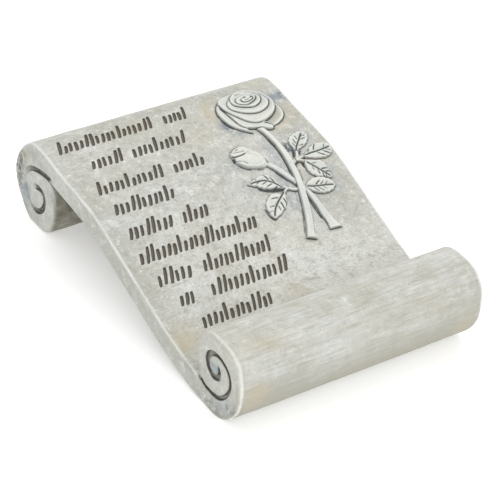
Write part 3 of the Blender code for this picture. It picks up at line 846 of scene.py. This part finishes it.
def on_field(points, margin):
    """The places that lie in the hole of the net, clear of its rim."""
    x, s = points.T
    reach = np.interp(s, ROW_DOWN[HEAD:FOOT + 1], X_OF[HEAD:FOOT + 1, RIGHT])
    return points[(np.abs(x) < reach - margin) & (s > FIELD_FROM + margin)
                  & (s < FIELD_TO - margin)]


def lattice(step):
    """An even pattern of places over the carved face."""
    x, s = np.meshgrid(np.arange(-WIDTH / 2, WIDTH / 2, step),
                       np.arange(FIELD_FROM - 1, FIELD_TO + 2, step * 0.866))
    x[1::2] += step / 2
    return np.column_stack((x.ravel(), s.ravel()))


print(len(STEPS), "steps of the carving need places")

# %% Places of the carved face
EDGE_APART, CLOSE_STEP, WIDE_STEP, CLOSE_WITHIN = 0.21, 0.95, 1.55, 3.0
groups = [(on_field(uncovered(k, step.places()), 0.5), EDGE_APART)
          for k, step in reversed(list(enumerate(STEPS)))]
edges_only = thinned(groups)
tree = KDTree(len(edges_only))
for k, (x, s) in enumerate(edges_only):
    tree.insert((x, s, 0.0), k)
tree.balance()
ground = on_field(lattice(CLOSE_STEP), 0.6)
gaps = np.array([tree.find((x, s, 0.0))[2] for x, s in ground])
groups.append((ground[gaps < CLOSE_WITHIN], 0.55))
groups.append((on_field(lattice(WIDE_STEP), 0.8), 0.69))
FIELD = thinned(groups)
print(len(edges_only), "places along edges,", len(FIELD), "in all")

# %% Triangles of the carved face
rim = np.array([(X_OF[r, c], ROW_DOWN[r]) for r, c in RIM_OF_HOLE])


def triangulated(rim, inner, rim_numbers, first_number):
    """Inner places in the order that the mesh takes them, and triangles by mesh number."""
    count = len(rim)
    found, _, triangles, came_from, _, _ = delaunay_2d_cdt(
        [Vector(p) for p in np.vstack((rim, inner)).tolist()],
        [(k, (k + 1) % count) for k in range(count)], [], 1, 1e-7)
    number_of, used = [], []
    for point, origin in zip(found, came_from):
        on_rim = [o for o in origin if o < count]
        if on_rim:
            number_of.append(int(rim_numbers[on_rim[0]]))
        else:
            number_of.append(first_number + len(used))
            used.append((point.x, point.y))
    return np.array(used), [[number_of[k] for k in triangle] for triangle in triangles]


NET_COUNT = int(in_net.sum())
FIELD, field_faces = triangulated(rim, FIELD, [NUMBER[r, c] for r, c in RIM_OF_HOLE], NET_COUNT)
faces += field_faces
print(len(field_faces), "triangles on the carved face")

# %% Carve
net_rows = slice(HEAD, FOOT + 1)
net_x, net_s = X_OF[net_rows], np.broadcast_to(ROW_DOWN[net_rows, None], X_OF[net_rows].shape)
face = Face(np.concatenate((FIELD[:, 0], net_x.ravel())),
            np.concatenate((FIELD[:, 1], net_s.ravel())))


def hump(at, reach, height):
    """A soft round rise, or a dent when the height is less than nothing."""
    face.height += height * np.exp(-((face.x - at[0]) / reach[0]) ** 2
                                   - ((face.s - at[1]) / reach[1]) ** 2)


for step in STEPS:
    step.carve(face)
# the casting has a dent beside the rose, and just below it a rise
hump((65.0, 12.5), (5.5, 2.6), -0.55)
hump((65.5, 20.0), (4.2, 4.6), 0.40)
print("carving from", face.height.min().round(2), "to", face.height.max().round(2), "mm")

# %% [markdown]
# ## The skin in space
#
# Now every place is set in space: it stands on the outline and is moved out along the
# outline's normal by its height. A cast surface is never true, so a little soft noise moves it
# as well, by a tenth of a millimetre or two. The flat foot stays flat.

# %% Places in space
def uneven(points):
    """How far soft noise moves each place of the surface, in millimetres."""
    return np.array([0.17 * noise.noise(p / 20.0) + 0.10 * noise.noise(p / 7.5)
                     + 0.045 * noise.noise(p / 3.2) for p in map(Vector, points.tolist())])


path, path_at = walk(UPPER, CREST_AT + FIELD_FROM, CREST_AT + FIELD_TO, 0.25)
path_down, path_out = path_at - CREST_AT, normals_of(path)


def on_sheet(x, s, out=0.0):
    """Points in space of places on the carved face, lifted off it by so much."""
    y, z, out_y, out_z = (np.interp(s, path_down, values[:, k])
                          for values in (path, path_out) for k in (0, 1))
    return np.stack((np.broadcast_to(x, np.shape(y)), y + out * out_y, z + out * out_z), axis=-1)


GROUND_FLAT = 0.05
on_net = np.stack([np.broadcast_to(values, X_OF.shape)
                   for values in (X_OF, ROW_AT[:, :1], ROW_AT[:, 1:])], axis=-1)
net_height = uneven(on_net.reshape(-1, 3)).reshape(X_OF.shape)
net_height[ROW_AT[:, 1] < GROUND_FLAT] = 0.0
field_count = len(FIELD)
still = 1 - 0.5 * face.flower
net_height[net_rows] *= still[field_count:].reshape(net_x.shape)
net_height[net_rows] += face.height[field_count:].reshape(net_x.shape)
on_net[:, :, 1:] += ROW_OUT[:, None, :] * (net_height - INSET)[:, :, None]
on_ground = on_sheet(FIELD[:, 0], FIELD[:, 1])
field_height = face.height[:field_count] + uneven(on_ground) * still[:field_count]
vertices = np.vstack((on_net[in_net], on_sheet(FIELD[:, 0], FIELD[:, 1], field_height)))
print(len(vertices), "places in space")

# %% [markdown]
# ## The end faces and their spirals
#
# Each end face shows how the sheet is rolled: a groove runs in from the nook beside the roll
# and winds round to the middle, like a channel with a flat floor, broad in places and worn
# nearly away in others. The end face is cut into triangles in the same way as the carved face,
# with rows of places beside the groove.

# %% Spiral grooves
FRONT_GROOVE = (
    # share of the half depth, share of the half height, half of the groove's width
    (0.75, -0.36, 0.7), (0.63, -0.41, 0.75), (0.45, -0.47, 0.85), (0.11, -0.48, 0.95),
    (-0.19, -0.4, 1), (-0.44, -0.17, 0.85), (-0.55, 0.1, 0.8), (-0.49, 0.33, 0.75),
    (-0.34, 0.47, 0.7), (-0.14, 0.55, 0.7), (0.09, 0.58, 0.85), (0.29, 0.53, 1.15),
    (0.43, 0.42, 1.5), (0.47, 0.27, 1.5), (0.42, 0.13, 1.4), (0.3, 0.04, 1.4), (0.15, 0, 1.65),
    (-0.02, 0.05, 1.3), (-0.06, 0.19, 0.95), (-0.02, 0.28, 0.6),
)
BACK_GROOVE = (
    (-0.7, 0.5, 1.1), (-0.51, 0.5, 1.3), (-0.27, 0.47, 1.2), (-0.02, 0.42, 1.15),
    (0.22, 0.34, 1.2), (0.39, 0.22, 1.3), (0.49, 0.06, 1.1), (0.5, -0.12, 1.1), (0.42, -0.26, 1.1),
    (0.31, -0.38, 1), (0.2, -0.51, 1), (0.08, -0.58, 1.3), (-0.08, -0.59, 1.4),
    (-0.25, -0.53, 1.3), (-0.39, -0.4, 1.3), (-0.45, -0.22, 1.25), (-0.42, -0.08, 1.1),
    (-0.33, 0, 1.3), (-0.17, 0.02, 1.3), (-0.02, -0.01, 1.3),
)
BACK_STRENGTHS = (1, 1, 1, 1, 0.95, 0.75, 0.4, 0.3, 0.3, 0.25, 0.35, 0.7, 1, 1, 1, 0.9, 0.8, 0.85,
                   1, 1)
GROOVE_DEEP = 1.9
GROOVES = [
    # centre line, halves of the width, strengths along it, share of the wash on the floor
    (smooth_line([roll.inside(p[:2]) for p in points], 5), [p[2] for p in points], strengths, wash)
    for roll, points, strengths, wash in (
        (FRONT_ROLL, FRONT_GROOVE, (1.0, 1.0), 0.20),
        (BACK_ROLL, BACK_GROOVE, BACK_STRENGTHS, 0.80))]


def along_groove(values, along):
    """A number that changes along the groove, from the values given for it at even steps."""
    return np.interp(along, np.linspace(0, 1, len(values)), values)


def groove_at(y, z):
    """How far the face is pressed in, how near a wall is, and how far in the floor is."""
    deep, wall, floor = np.zeros((3,) + y.shape)
    for line, halves, strengths, wash in GROOVES:
        gap, along, _, _ = from_line(line, y, z)
        half, strength = along_groove(halves, along), along_groove(strengths, along)
        deep = np.maximum(deep, 0.80 * strength * eased((half + 0.25 - gap) / 0.7)
                          + 0.20 * strength * bell(gap, 2.6))
        # painted shade along the groove's walls; the wash share darkens its floor as well
        wall = np.maximum(wall, strength ** 2 * bell(gap - half + 0.05, 0.33))
        wall = np.maximum(wall, wash * strength ** 2 * eased((half - gap) / 0.5))
        floor = np.maximum(floor, strength * eased((half - gap) / 0.5))
    return deep, wall, floor


print("grooves of", [round(step_lengths(groove[0]).sum(), 1) for groove in GROOVES], "mm")


# %% Close the ends
def end_places(rim):
    """Places inside the rim: close together beside the grooves, wide apart elsewhere."""
    groups = []
    for line, halves, _, _ in GROOVES:
        half = along_groove(halves, np.linspace(0, 1, len(line)))
        groups += [(beside(line, way * (half + more), 0.5), 0.24)
                   for more in (0.0, -0.3, 0.3, 0.65) for way in (-1, 1)]
        groups.append((beside(line, 0.0, 0.6), 0.3))
        groups += [(beside(line, way * (half + 1.5), 1.1), 0.6) for way in (-1, 1)]
    low, high = rim.min(axis=0), rim.max(axis=0)
    y, z = np.meshgrid(np.arange(low[0], high[0], 1.9), np.arange(low[1], high[1], 1.65))
    y[1::2] += 0.95
    groups.append((np.column_stack((y.ravel(), z.ravel())), 1.2))
    points = thinned(groups, 1.2)
    closed = ringed(rim)
    clear = from_line(closed, *points.T)[0]
    return points[within(closed, *points.T) & (clear > 0.35)]


all_places = [vertices]
end_notes = []
for side, column in ((-1.0, 0), (1.0, len(COLUMN_SHARE) - 1)):
    rim_numbers = NUMBER[:, column]
    rim = vertices[rim_numbers][:, 1:]
    start = sum(len(part) for part in all_places)
    inner, triangles = triangulated(rim, end_places(rim), rim_numbers, start)
    deep, wall, floor = groove_at(*inner.T)
    clear = from_line(ringed(rim), *inner.T)[0]
    rough = np.array([noise.noise((y / 9.0, z / 9.0, 5.0 * side))
                      + 0.4 * noise.noise((y / 3.0, z / 3.0, 7.0 * side)) for y, z in inner])
    level = WIDTH / 2 - GROOVE_DEEP * deep - (0.14 + 0.14 * rough) * eased(clear / 2.0)
    all_places.append(np.column_stack((side * level, inner)))
    end_notes.append(np.column_stack((wall, floor, clear)))
    faces += [corners if side < 0 else corners[::-1] for corners in triangles]
places = np.vstack(all_places)
print("end faces:", [len(part) for part in all_places[1:]], "inner places each")

# %% [markdown]
# ## The mesh and its notes
#
# The mesh gets notes as attributes, one number for each place: how deep in a crease it is, how
# proud it stands, whether it belongs to the spray or to a stroke. The finish can read them
# later, just as a painter's wash finds the creases by itself. Some stains have a place of their
# own on the real piece, and those are dabbed on: blue grey and tan, each a soft ball of
# colour with a centre and a reach.
# The pale and grey dabs, and the tan along the front roll's foot, are painted light and painted
# shade.

# %% Build the mesh
mesh = bpy.data.meshes.new("carved_scroll")
mesh.from_pydata((places * MM).tolist(), [], [corners[::-1] for corners in faces])
mesh.validate()
scroll = placed("carved_scroll", mesh)
mesh.shade_smooth()
mesh.calc_loop_triangles()
print("carved_scroll:", len(mesh.vertices), "vertices,", len(mesh.loop_triangles), "triangles")


# %% Notes for the finish
def keep(name, values):
    """Keeps one number from 0 to 1 for each place of the mesh."""
    layer = mesh.attributes.new(name, "FLOAT", "POINT")
    layer.data.foreach_set("value", np.clip(values, 0, 1).astype(np.float32))


def note(name, on_net_values, on_field_values=0.0, on_end_values=0.0):
    """Keeps a note from its values on the net, on the carved face and on the ends."""
    keep(name, np.concatenate([np.broadcast_to(values, number) for values, number in (
        (np.broadcast_to(on_net_values, X_OF.shape)[in_net], NET_COUNT),
        (on_field_values, field_count), (on_end_values, len(clear)))]))


def face_note(name, more_on_net=0.0, on_end_values=0.0):
    """Keeps a mark of the carved face."""
    marks = getattr(face, name)
    on_net_values = np.zeros(X_OF.shape) + more_on_net
    on_net_values[net_rows] += marks[field_count:].reshape(net_x.shape)
    note(name, on_net_values, marks[:field_count], on_end_values)


wall, floor_share, clear = np.vstack(end_notes).T
from_end = WIDTH / 2 - np.abs(X_OF)
row_y, row_z, out_y, out_z = (values[:, None] for values in (*ROW_AT.T, *ROW_OUT.T))
front_share, back_share, under_share, roll_share = (
    softened(flags, rows)[:, None] for flags, rows in (
        (ON_FRONT, 3), (ON_BACK, 5), (UNDER, 3),
        (ON_FRONT | ON_BACK | (ROW_RUN == "foot of sheet"), 5)))
# lighter edges: wear, and a painted highlight that stays where the front roll's edges face the
# front and fades where the back roll faces down
worn_edge_and_highlight = bell(from_end - 0.62 * ROUNDING, 0.42 * ROUNDING + 0.25 * (1 - front_share))
worn_edge_and_highlight *= 1 - front_share * (1 - np.clip(0.85 - 0.7 * out_y, 0, 1))
worn_edge_and_highlight *= 1 - under_share
worn_edge_and_highlight *= 1 - 0.95 * back_share * np.clip(0.9 - 1.5 * out_z, 0, 1)
# painted shade under the sheet and on the back roll's front, where the sheet hangs over it
shade_under = np.clip(under_share + back_share * eased((76.0 - row_y) / 14.0), 0, 1)
shade_under *= eased((row_y + 75.0) / 40.0)
# a darker line along the nooks where the sheet meets a roll
nook_line = bell(NOOK_GAP, 1.3)[:, None] * np.maximum(0.7 * eased(from_end / 2.5), row_y > 0)
face_note("line", nook_line, 0.9 * wall)
for name in ("flower", "wash_and_shade_halo", "rim", "bowl", "stroke"):
    face_note(name)
note("groove_floor", 0.0, 0.0, floor_share)
note("edge", worn_edge_and_highlight, 0.0, 0.30 * bell(clear, 0.7))
note("roll", roll_share, np.interp(FIELD[:, 1], (122.0, 136.0), (0.0, 0.8)) ** 2)
note("end_face", 1 - np.sin(COLUMN_TURN), 0.0, 1.0)
note("painted_shade_under", shade_under * np.sin(COLUMN_TURN) ** 2)
# the front roll darker towards its foot: painted shade
note("low_front_shade", front_share * eased((35.0 - row_z) / 25.0))
print("edges worn on", round(100 * float((worn_edge_and_highlight > 0.5).mean()), 1), "% of the net")


# %% Stains, painted light and painted shade with a place of their own
def dabbed(name, on_face, elsewhere):
    """Keeps soft balls of colour, all as one note.

    On the carved face each is (across, down the sheet, reach across, reach along, strength),
    elsewhere (x, y, z, reach along x, y and z, strength).
    """
    dabs = [(on_sheet(x, s), (across, along, along), strength)
            for x, s, across, along, strength in on_face]
    total = np.zeros(len(places))
    for centre, reach, strength in dabs + [(dab[:3], dab[3:6], dab[6]) for dab in elsewhere]:
        total += strength * np.exp(-np.sum(((places - centre) / reach) ** 2, axis=1))
    keep(name, total)


dabbed("blue_stain", (
    (63.5, 13.4, 7, 2.6, 1.1), (60.5, 16.5, 2, 4, 0.8), (68, 13, 2.6, 2.6, 1),
    (47, 52, 2, 4.4, 1.4), (37.8, 48, 2.4, 10, 0.5), (35.5, 60, 3, 8, 0.5),
    (34.5, 84, 2.4, 9, 0.6), (30, 80, 3, 5, 0.4), (41.5, 85, 2.4, 8, 0.5),
    (26.2, 23, 2.6, 5.5, 0.8), (30, 31.5, 3.2, 2.6, 0.6), (17, 52, 4, 4, 0.35),
    (14, 70, 7, 9, 0.25), (9, 48, 7, 7, 0.25), (32, 66, 3, 5, 0.6), (59.5, 70, 3, 3, 0.5),
    (60.5, 46, 2.4, 4, 0.4), (58.5, 79.5, 3, 3, 0.5)), (
    (-70, -88, 9, 3, 6, 3.5, 0.5), (-70, -97, 16, 3, 3, 6, 0.3),
    (-70, -78, 24.5, 3, 3.5, 3.5, 0.5), (-70, 89.5, 13, 3, 3.6, 9, 0.9),
    (-70, 84, 38, 3, 9, 3, 0.35), (-70, -82, 25, 3, 3.5, 4, 0.6)))
dabbed("tan_stain_and_shade", (
    (24, 10, 3.2, 7, 0.9), (30.5, 3, 4, 3, 0.5), (57, 31, 5, 4.5, 0.8), (63, 24, 6, 6, 0.6),
    (52, 34.5, 5, 3, 0.6), (-62, 133, 7, 9, 0.7), (-46, 136, 9, 4, 0.4), (60, -1, 9, 4, 0.5),
    (48, 60.5, 4, 4, 0.5), (-20, 6, 12, 5, 0.25), (10, 26, 8, 8, 0.3), (21, 96, 8, 8, 0.25),
    (-2, 128, 12, 7, 0.45), (-20, 100, 34, 18, 0.22), (-66.5, 139, 2, 5, 0.5),
    (58, 62.5, 7, 2.5, 0.6), (21, 74, 6, 3, 0.4)), (
    # the tan low on the front roll, along its foot, is painted shade; the other tan dabs are
    # stains
    (-56, -90, 38, 13, 5, 5, 0.6), (-60, -100, 20, 8, 8, 8, 0.9), (62, -96, 14, 7, 9, 9, 0.5),
    (10, -99, 10, 60, 6, 7, 0.25), (-70, 90, 35, 3, 4.5, 3.5, 0.7), (-70, 97, 20, 3, 3, 9, 0.3)))
# paler places on the lower sheet and on the front roll: painted light
dabbed("painted_light_place", (
    (42, 114, 34, 20, 1), (8, 112, 24, 13, 0.9)), (
    (-20, -95, 40, 40, 8, 6, 0.2),))
# greyer places: partly grey patches of wash, partly painted shade across the top of the sheet, on
# the front roll's crest and foot and on the end faces
dabbed("grey_patch_and_shade", (
    (-66, 92, 8, 34, 0.9), (-46, 0, 34, 12, 0.65), (10, -3, 40, 9, 0.6), (-62, 40, 8, 30, 0.5),
    (55, 66, 12, 22, 0.7), (56, 36, 11, 9, 0.8), (-10, 36, 44, 30, 0.45), (61, 12, 12, 13, 1),
    (40, 1, 16, 5, 0.8), (66, 40, 7, 22, 0.5), (-68, 138, 2.4, 6, 0.9), (50, 90, 16, 20, 0.35)), (
    (68, -92, 24, 15, 14, 22, 0.9), (-70, 84, 42, 4, 8, 2.4, 0.7), (-70, 72, 38, 4, 7, 3, 0.6),
    (0, -83, 43, 80, 8, 6, 0.45), (-70, -58, 12, 4, 18, 9, 0.9), (-70, -84, 5, 4, 14, 5, 0.7),
    (-48, -99, 16, 22, 9, 13, 1), (-70, -46, 17, 4, 9, 7, 0.5), (-70, 80, 8, 4, 20, 12, 0.5),
    (-70, 96, 26, 4, 5, 12, 0.6), (-70, -16, 22, 4, 44, 26, 0.4), (-70, 30, 36, 4, 14, 7, 0.4)))
# dark dabs: granular dark marks beside the spray, and dark patches and dots on the left end, along
# the front nook and at the back groove's mouth
dabbed("dark_dabs", (
    (46.4, 53, 1.5, 3.6, 1.5), (68, 13, 2, 2, 0.7), (27, 24, 1.2, 5, 0.5), (26.5, 71.8, 4, 2, 0.8),
    (46.9, 48.6, 1.4, 3, 1.3)), (
    (-70, 96.5, 25, 3, 4.6, 9, 1), (-70, 93, 33, 2.5, 2, 4, 0.6),
    (-70, -92.5, 12, 2.5, 3, 2.5, 0.5), (-70, 95, 14, 2.5, 2, 3, 0.6), (-70, 60, 26, 3, 9, 3, 0.4),
    (-70, -66.6, 15.8, 3, 1.3, 1.3, 1.1), (-70, -68, 14.2, 3, 1.3, 1.3, 1.1),
    (-70, -69.4, 12.8, 3, 1.2, 1.2, 1.1), (-70, -80, 4, 3, 10, 3, 0.5),
    (-70, -62, 13, 3, 6, 2, 0.6), (-70, -48, 19, 3, 7, 2, 0.45), (-70, -99, 12, 3, 3, 3, 0.6)))
print("stains dabbed on")

# %% [markdown]
# ## A small language for finishes
#
# Blender's materials are nets of nodes. Written out one by one they are hard to read, so one
# small class wraps a socket and gives it plus, minus and times. Any other node comes
# from one method, which sets the node's settings first and then its sockets. The stone is
# painted in layers, and a layer is a share and a colour.

# %% Values that can be added
def maths(operation, swapped=False):
    """An operator between two values, or between a value and a plain number."""
    def method(self, other):
        first, second = (other, self) if swapped else (self, other)
        return self.finish.node("ShaderNodeMath", {"operation": operation},
                                {0: first, 1: second})
    return method


class Value:
    """A number or colour on its way through a material."""

    def __init__(self, finish, socket):
        self.finish, self.socket = finish, socket

    __add__ = __radd__ = maths("ADD")
    __mul__ = __rmul__ = maths("MULTIPLY")
    __sub__, __rsub__ = maths("SUBTRACT"), maths("SUBTRACT", swapped=True)

    def held(self):
        """The number kept between 0 and 1."""
        return self.finish.node("ShaderNodeClamp", {}, {"Value": self})

    def from_to(self, low, high):
        """0 at the low number, 1 at the high one, with soft ends."""
        return self.finish.node("ShaderNodeMapRange", {"interpolation_type": "SMOOTHSTEP"},
                                {"Value": self, "From Min": low, "From Max": high})


print("values can be added, subtracted and multiplied")


# %% Finishes
class Finish:
    """A material built from expressions."""

    def __init__(self, name):
        self.material = bpy.data.materials.new(name)
        self.material.use_nodes = True
        self.tree = self.material.node_tree
        self.surface = self.tree.nodes["Principled BSDF"]

    def node(self, kind, settings, sockets, output=0):
        """A node of a kind, with its settings made before its sockets are filled."""
        node = self.tree.nodes.new(kind)
        for name, value in settings.items():
            setattr(node, name, value)
        self.feed(node, sockets)
        return Value(self, node.outputs[output])

    def fill(self, socket, value):
        """Sets a socket to a plain value or links it to one that varies."""
        if isinstance(value, Value):
            self.tree.links.new(value.socket, socket)
        else:
            socket.default_value = value

    def feed(self, node, values):
        """Fills several sockets of a node, by name."""
        for name, value in values.items():
            self.fill(node.inputs[name], value)

    def noise(self, scale, detail=3.0, rough=0.55, stretch=None, twist=0.0):
        """Noise over the piece, so many waves to the metre, stretched where asked."""
        place = self.node("ShaderNodeTexCoord", {}, {}, "Object")
        if stretch:
            place = self.node("ShaderNodeVectorMath", {"operation": "MULTIPLY"},
                              {0: place, 1: stretch})
        return self.node("ShaderNodeTexNoise", {},
                         {"Vector": place, "Scale": scale, "Detail": detail,
                          "Roughness": rough, "Distortion": twist}, "Fac")

    def note(self, name):
        """One of the mesh's own notes."""
        return self.node("ShaderNodeAttribute", {"attribute_name": name}, {}, "Fac")

    def mix(self, share, first, second):
        """A blend of two colours."""
        return self.node("ShaderNodeMix", {"data_type": "RGBA"},
                         {0: share, 6: first, 7: second}, 2)

    def layers(self, colour, *layers):
        """Colours laid over the first, each given as its share and its red, green and blue."""
        for share, *tone in layers:
            colour = self.mix(share, colour, shade(*tone))
        return colour


def shade(red, green, blue):
    """A colour as it is seen on a screen, 0 to 255, turned into Blender's own numbers."""
    return tuple(((c / 255 + 0.055) / 1.055) ** 2.4 for c in (red, green, blue)) + (1.0,)


print("screen grey 128 is", round(shade(128, 128, 128)[0], 3), "to Blender")

# %% [markdown]
# ## Cast stone with an antique wash
#
# The casting is pale grey. A thin dark wash was brushed over it and wiped off again, so it
# stayed in the creases, the strokes and the pores, and left faint clouds of beige and blue
# grey. Last came a nearly dry white brush that touched only what stands proud: the lips of the
# petals, the rims of the leaves and the worn edges. The layers below follow the same order.
# Light and shade are painted in as well: shade under the sheet, low on the front roll, inside
# the petals' bowls and on the side of each form away from the light, and a highlight on the
# edges that face the light.

# %% The stone's colours
stone = Finish("cast_stone_wash")
clouds = stone.noise(24.0, 5.0, 0.62, twist=0.5)
patches = stone.noise(75.0, 5.0, 0.68, twist=0.4)
mottle = stone.noise(240.0, 5.0, 0.72)
grain = stone.noise(950.0, 3.0, 0.65)
pores = stone.noise(700.0, 2.0, 0.5)
streaks = stone.noise(760.0, 4.0, 0.70, stretch=(0.07, 1.0, 1.0), twist=0.2)
long_streaks = stone.noise(150.0, 4.0, 0.62, stretch=(0.12, 1.0, 1.0), twist=0.3)
scuffs = stone.noise(420.0, 4.0, 0.7, stretch=(0.25, 1.0, 0.6), twist=0.3)
line_note, wash_and_shade_halo_note, rim_note, bowl_note, flower_note, stroke_note, roll_note, end_note = (
    stone.note(n) for n in ("line", "wash_and_shade_halo", "rim", "bowl", "flower", "stroke", "roll", "end_face"))

flecks = 1 - 0.60 * roll_note
brushed = streaks.from_to(0.50, 0.66) * (0.2 + 0.8 * roll_note)
body = stone.layers(
    stone.mix(clouds.from_to(0.34, 0.66), shade(210, 211, 206), shade(200, 199, 190)),
    (stone.note("painted_light_place") * 0.55, 225, 226, 221),
    (stone.note("grey_patch_and_shade") * 0.78, 176, 176, 166),
    (patches.from_to(0.50, 0.70) * 0.65, 184, 182, 168),
    ((1 - patches).from_to(0.54, 0.70) * 0.55, 225, 226, 222),
    (mottle.from_to(0.52, 0.68) * flecks * 0.65, 168, 166, 152),
    ((1 - mottle).from_to(0.54, 0.68) * flecks * 0.55, 234, 234, 230),
    (grain.from_to(0.54, 0.70) * flecks * 0.60, 150, 148, 137),
    ((1 - grain).from_to(0.56, 0.70) * flecks * 0.45, 240, 240, 236),
    (brushed * 0.55, 174, 168, 150),
    ((1 - streaks).from_to(0.54, 0.70) * roll_note * 0.45, 234, 234, 230),
    (long_streaks.from_to(0.50, 0.70) * roll_note * 0.30, 230, 230, 225),
    ((1 - long_streaks).from_to(0.52, 0.72) * roll_note * 0.32, 190, 183, 164),
    (scuffs.from_to(0.54, 0.68) * (1 - roll_note) * 0.55, 170, 169, 160),
    # the end faces greener and a little darker: partly their own grey-green tone, partly painted
    # shade on the side faces
    (end_note * 0.32, 178, 181, 172),
    # painted shade low on the front roll
    (stone.note("low_front_shade") * (0.68 + 0.6 * streaks).held(), 169, 168, 156))
print("the body has", len(stone.tree.nodes), "nodes")

# %% Stains and painted shade
blue = (stone.note("blue_stain") * 1.1 + 0.14) * (0.25 + 1.5 * patches * mottle.from_to(0.3, 0.6))
tan = (stone.note("tan_stain_and_shade") + 0.05) * (0.2 + 3.0 * clouds * patches)
dark_specks = stone.note("dark_dabs") * (1.3 * mottle + 0.9 * grain).from_to(0.95, 1.20)
under = stone.note("painted_shade_under")
body = stone.layers(
    body, (blue.held() * 0.80, 126, 140, 154), (tan.held() * 0.62, 190, 177, 146),
    (dark_specks.held() * 0.90, 72, 78, 80),
    # painted shade under the sheet, mottled olive and grey
    (under * (0.10 + 1.5 * patches.from_to(0.36, 0.62) * mottle), 84, 78, 60),
    (under * (0.35 + 0.4 * streaks), 130, 127, 111))
petals = stone.mix(patches.from_to(0.44, 0.62), shade(214, 218, 211), shade(226, 228, 219))
body = stone.layers(stone.mix(flower_note * 0.70, body, petals),
                    # painted shade, brownish, inside the petals' bowls
                    (bowl_note * (0.36 + 0.6 * mottle), 168, 161, 144))
print("with its stains", len(stone.tree.nodes))

# %% The dark wash, the dry brush, painted shade and painted highlights
broken = stone.noise(380.0, 3.0, 0.6)
# wash pooled round the forms, and painted shade on their side away from the light
pooled_wash_and_shade = wash_and_shade_halo_note * (0.30 + 0.8 * patches)
dark = (line_note * (0.45 + 1.05 * broken)).from_to(0.08, 0.76)
wall = stroke_note.from_to(0.12, 0.42)
floor_tone = stroke_note.from_to(0.62, 1.05) * (0.4 + 0.7 * mottle)
groove = stone.note("groove_floor") * (0.35 + 0.7 * broken)
# dry brush on the lips of the forms, and worn edges with a painted highlight
dry_brush_and_highlight = (rim_note * 0.75 + stone.note("edge") * (0.2 + 1.4 * patches)) * (0.35 + 1.2 * mottle)
pits = pores.from_to(0.68, 0.75)
body = stone.layers(body, (pooled_wash_and_shade.held() * 0.55, 142, 144, 140))
body = stone.mix(dark * 0.92, body, stone.mix(end_note, shade(62, 68, 68), shade(62, 57, 48)))
body = stone.layers(
    body, (wall * 0.92, 70, 66, 58), (floor_tone.held() * wall * 0.75, 140, 128, 108),
    (groove.held() * (1 - dark), 106, 95, 78),
    (dry_brush_and_highlight.from_to(0.18, 0.95) * (1 - dark) * 0.66, 238, 239, 236),
    (pits * 0.30, 122, 118, 106))
relief = mottle * 0.5 + grain * 0.3 - pits * 0.5 + streaks * roll_note * 0.8 + scuffs * 0.4
stone.feed(stone.surface, {
    "Base Color": body, "Roughness": (0.78 + 0.14 * mottle - 0.10 * dry_brush_and_highlight.held()).held(),
    "Specular IOR Level": 0.30,
    "Normal": stone.node("ShaderNodeBump", {}, {
        "Strength": 0.55, "Distance": 0.0004, "Height": relief})})
mesh.materials.append(stone.material)
print("finish", stone.material.name, "has", len(stone.tree.nodes), "nodes")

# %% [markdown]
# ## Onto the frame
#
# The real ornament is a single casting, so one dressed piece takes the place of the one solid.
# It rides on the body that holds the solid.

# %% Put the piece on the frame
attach(scroll, "root")
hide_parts("scroll_ornament")
print("carved_scroll takes the place of scroll_ornament")

# %% [markdown]
# ## Floor and light
#
# The piece is photographed on white paper in soft light that comes mostly from behind and
# the right, with a large pale reflector in front. So there is a wide soft key light high on
# that side, a weaker fill from the camera's side, and an even sky.

# %% Floor
floor_mesh = bpy.data.meshes.new("floor")
floor_mesh.from_pydata([(-4, -4, 0), (4, -4, 0), (4, 4, 0), (-4, 4, 0)], [], [(0, 1, 2, 3)])
floor = placed("floor", floor_mesh)
paper = Finish("white_paper")
paper.feed(paper.surface, {
    "Base Color": paper.mix(paper.noise(7.0, 2.0), (0.93, 0.93, 0.93, 1.0),
                            (0.95, 0.95, 0.95, 1.0)),
    "Roughness": 0.9, "Specular IOR Level": 0.1,
    "Emission Color": (1.0, 1.0, 1.0, 1.0), "Emission Strength": 0.30})
floor_mesh.materials.append(paper.material)
print("floor laid with", paper.material.name)


# %% Lights
def soft_light(name, place, size, power):
    """A square lamp aimed at the middle of the piece."""
    lamp = bpy.data.lights.new(name, "AREA")
    lamp.size, lamp.energy = size, power
    holder = placed(name, lamp)
    holder.location = place
    aim = Vector((0.0, 0.0, 0.02)) - Vector(place)
    holder.rotation_euler = aim.to_track_quat("-Z", "Y").to_euler()


soft_light("key_light", (0.45, 0.40, 1.00), 0.9, 5.0)
soft_light("fill_light", (-0.55, -1.05, 0.95), 1.1, 4.2)
world = bpy.data.worlds.new("studio")
bpy.context.scene.world = world
world.use_nodes = True
world.node_tree.nodes["Background"].inputs["Color"].default_value = (1.0, 1.0, 1.0, 1.0)
world.node_tree.nodes["Background"].inputs["Strength"].default_value = 0.80
bpy.context.scene.view_settings.view_transform = "Standard"
print("lights set")
